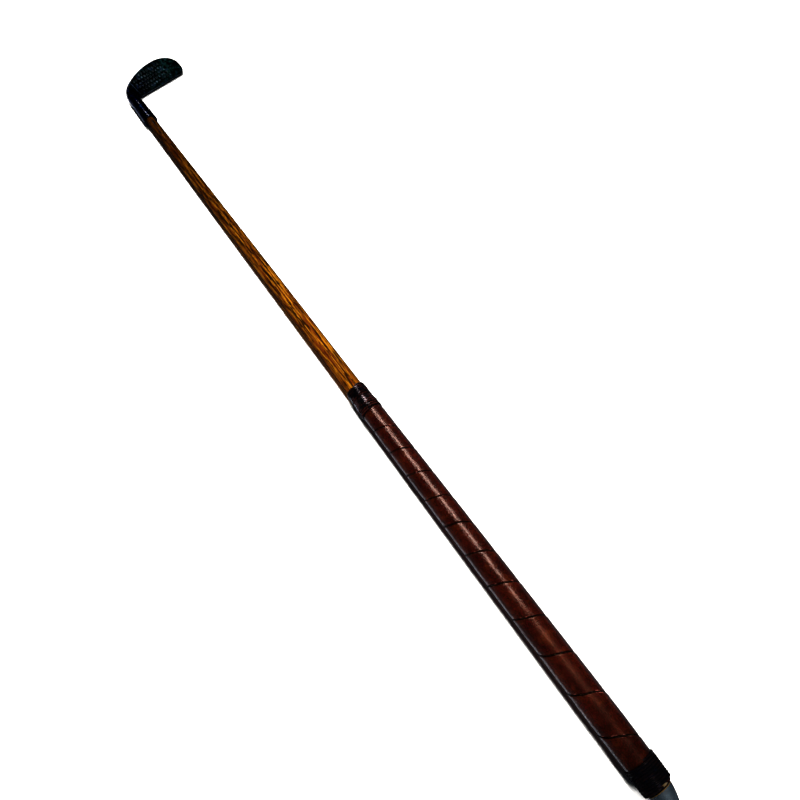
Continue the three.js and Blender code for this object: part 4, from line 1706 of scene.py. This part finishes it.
@dataclass
class Studio:
    """A plain pale floor, soft lights and the photograph's camera.

    What is glossy sees the floor darker, as in the photograph, with a bright band beside the club. The band is
    given by its far and near edges across the floor, from the shaft's axis, and is closer beside the wood.
    """

    club: Club
    floor: Colour = (0.9, 0.9, 0.9)
    floor_half: float = 6.0
    floor_mirrored: Colour = (0.14, 0.13, 0.15)
    fades: Pair = (0.8, 1.5)
    backdrop: Colour = (1.0, 1.0, 1.0)
    ambient: Colour = (0.012, 0.013, 0.015)
    ambient_mirrored: Colour = (0.007, 0.009, 0.012)
    band: Colour = (1.0, 0.96, 1.0)
    band_glow: Colour = (0.66, 0.86, 1.0)
    glow: float = 4.8
    band_far: Pair = (-0.0253, -0.0245)
    band_near: Pair = (-0.0227, -0.0235)
    axis_side: float = -0.0307
    grip_ends: Pair = (-0.145, -0.125)
    wood_share: float = 0.66
    focal_pixels: float = 600.0
    sensor: float = 36.0
    clip: Pair = (0.01, 20.0)
    eye: Triple = (-133.1, 88.16, 445.6)
    right: Triple = (0.83063, -0.55682, -0.00360)
    forward: Triple = (0.30110, 0.45457, -0.83828)
    exposure: float = 0.2
    contrast: float = 0.72
    lights: tuple[Light, ...] = (
        Light("key_light", (0.07, 1.5, 1.5), (0.0, 0.0, 0.0), (0.17, 3.4), 85.0, (1.0, 0.98, 0.95)),
        Light("near_key_light", (0.11, -1.75, 1.5), (0.0, 0.0, 0.0), (0.42, 1.15), 64.0, (1.0, 0.98, 0.95)),
        Light("blue_light", (0.3, -1.6, 0.5), (math.radians(74), 0.0, 0.0), (1.2, 0.5), 1.0, (0.62, 0.8, 1.0)),
        Light("side_light", (1.25, 0.55, 1.5), (0.0, math.radians(40), 0.0), (0.9, 0.9), 0.8, (0.5, 0.9, 0.95)),
        Light("under_light", (0.0, 0.0, -1.3), (math.pi, 0.0, 0.0), (0.5, 1.6), 14.0, (0.95, 0.98, 1.0)),
    )

    def _camera(self) -> None:
        """Sets up the camera at the photograph's viewing angle."""
        data = bpy.data.cameras.new("camera")
        data.sensor_width = self.sensor
        data.lens = self.focal_pixels / PHOTO_SIDE * self.sensor
        data.clip_start, data.clip_end = self.clip
        camera = bpy.data.objects.new("camera", data)
        turn = self.club.lay.to_3x3().normalized()
        right, back = turn @ Vector(self.right).normalized(), turn @ -Vector(self.forward).normalized()
        facing = Matrix((right, back.cross(right), back)).transposed().to_4x4()
        camera.matrix_world = Matrix.Translation(self.club.lay @ Vector(self.eye)) @ facing
        bpy.context.scene.collection.objects.link(camera)
        bpy.context.scene.camera = camera

    def _floor(self) -> None:
        """Lays the floor, which is seen only from above and lets the light under the club through."""
        half = self.floor_half
        corners = np.array([(-half, -half, 0), (half, -half, 0), (half, half, 0), (-half, half, 0)])
        floor = new_mesh("floor", corners, [(0, 1, 2, 3)])
        p = Paint("pale_floor", self.floor, 0.95, Specular_IOR_Level=0.1, Emission_Color=self.band_glow)
        mirrored = p.ray("Is Glossy Ray")
        side = (p.axis("X") - self.axis_side) / p.axis("Y").remap(*self.grip_ends, 1.0, self.wood_share)
        near = side.remap(*self.band_far) * side.remap(*self.band_near)
        away = p.put("ShaderNodeVectorMath", {0: p.place}, "Value", operation="LENGTH").remap(*self.fades)
        gone = p.math("MAXIMUM", p.put("ShaderNodeNewGeometry", out="Backfacing"), away)
        hidden = p.math("MAXIMUM", gone * p.ray("Is Camera Ray"), p.ray("Is Shadow Ray"))
        p.lay((p.mix(near, self.floor_mirrored, self.band), mirrored))
        floor.data.materials.append(p.finish(Emission_Strength=near * mirrored * self.glow, Alpha=1.0 - hidden))

    def build(self) -> None:
        """Sets up the floor, the lights, the surroundings and the camera."""
        self._floor()
        self._camera()
        for light in self.lights:
            light.hang()
        world = bpy.data.worlds.new("studio")
        world.use_nodes = True
        sky = Sketch(world.node_tree)
        colour = sky.mix(sky.ray("Is Glossy Ray"), self.ambient, self.ambient_mirrored)
        colour = sky.mix(sky.ray("Is Camera Ray"), colour, self.backdrop)
        sky.plug(world.node_tree.nodes["Background"], "Color", colour)
        bpy.context.scene.world = world
        view = bpy.context.scene.view_settings
        view.view_transform, view.exposure, view.gamma = "Standard", self.exposure, self.contrast


def main() -> None:
    """Builds the club piece by piece, then the studio."""
    logging.basicConfig(level=logging.INFO, format="%(message)s")
    shop = Workshop()
    shaft = Shaft()
    for assembly in (Head(), shaft, Grip(shaft), ButtEnd()):
        LOG.info("Building %s", type(assembly).__name__)
        assembly.build(shop)
    Studio(shop.club).build()


if __name__ == "__main__":
    main()
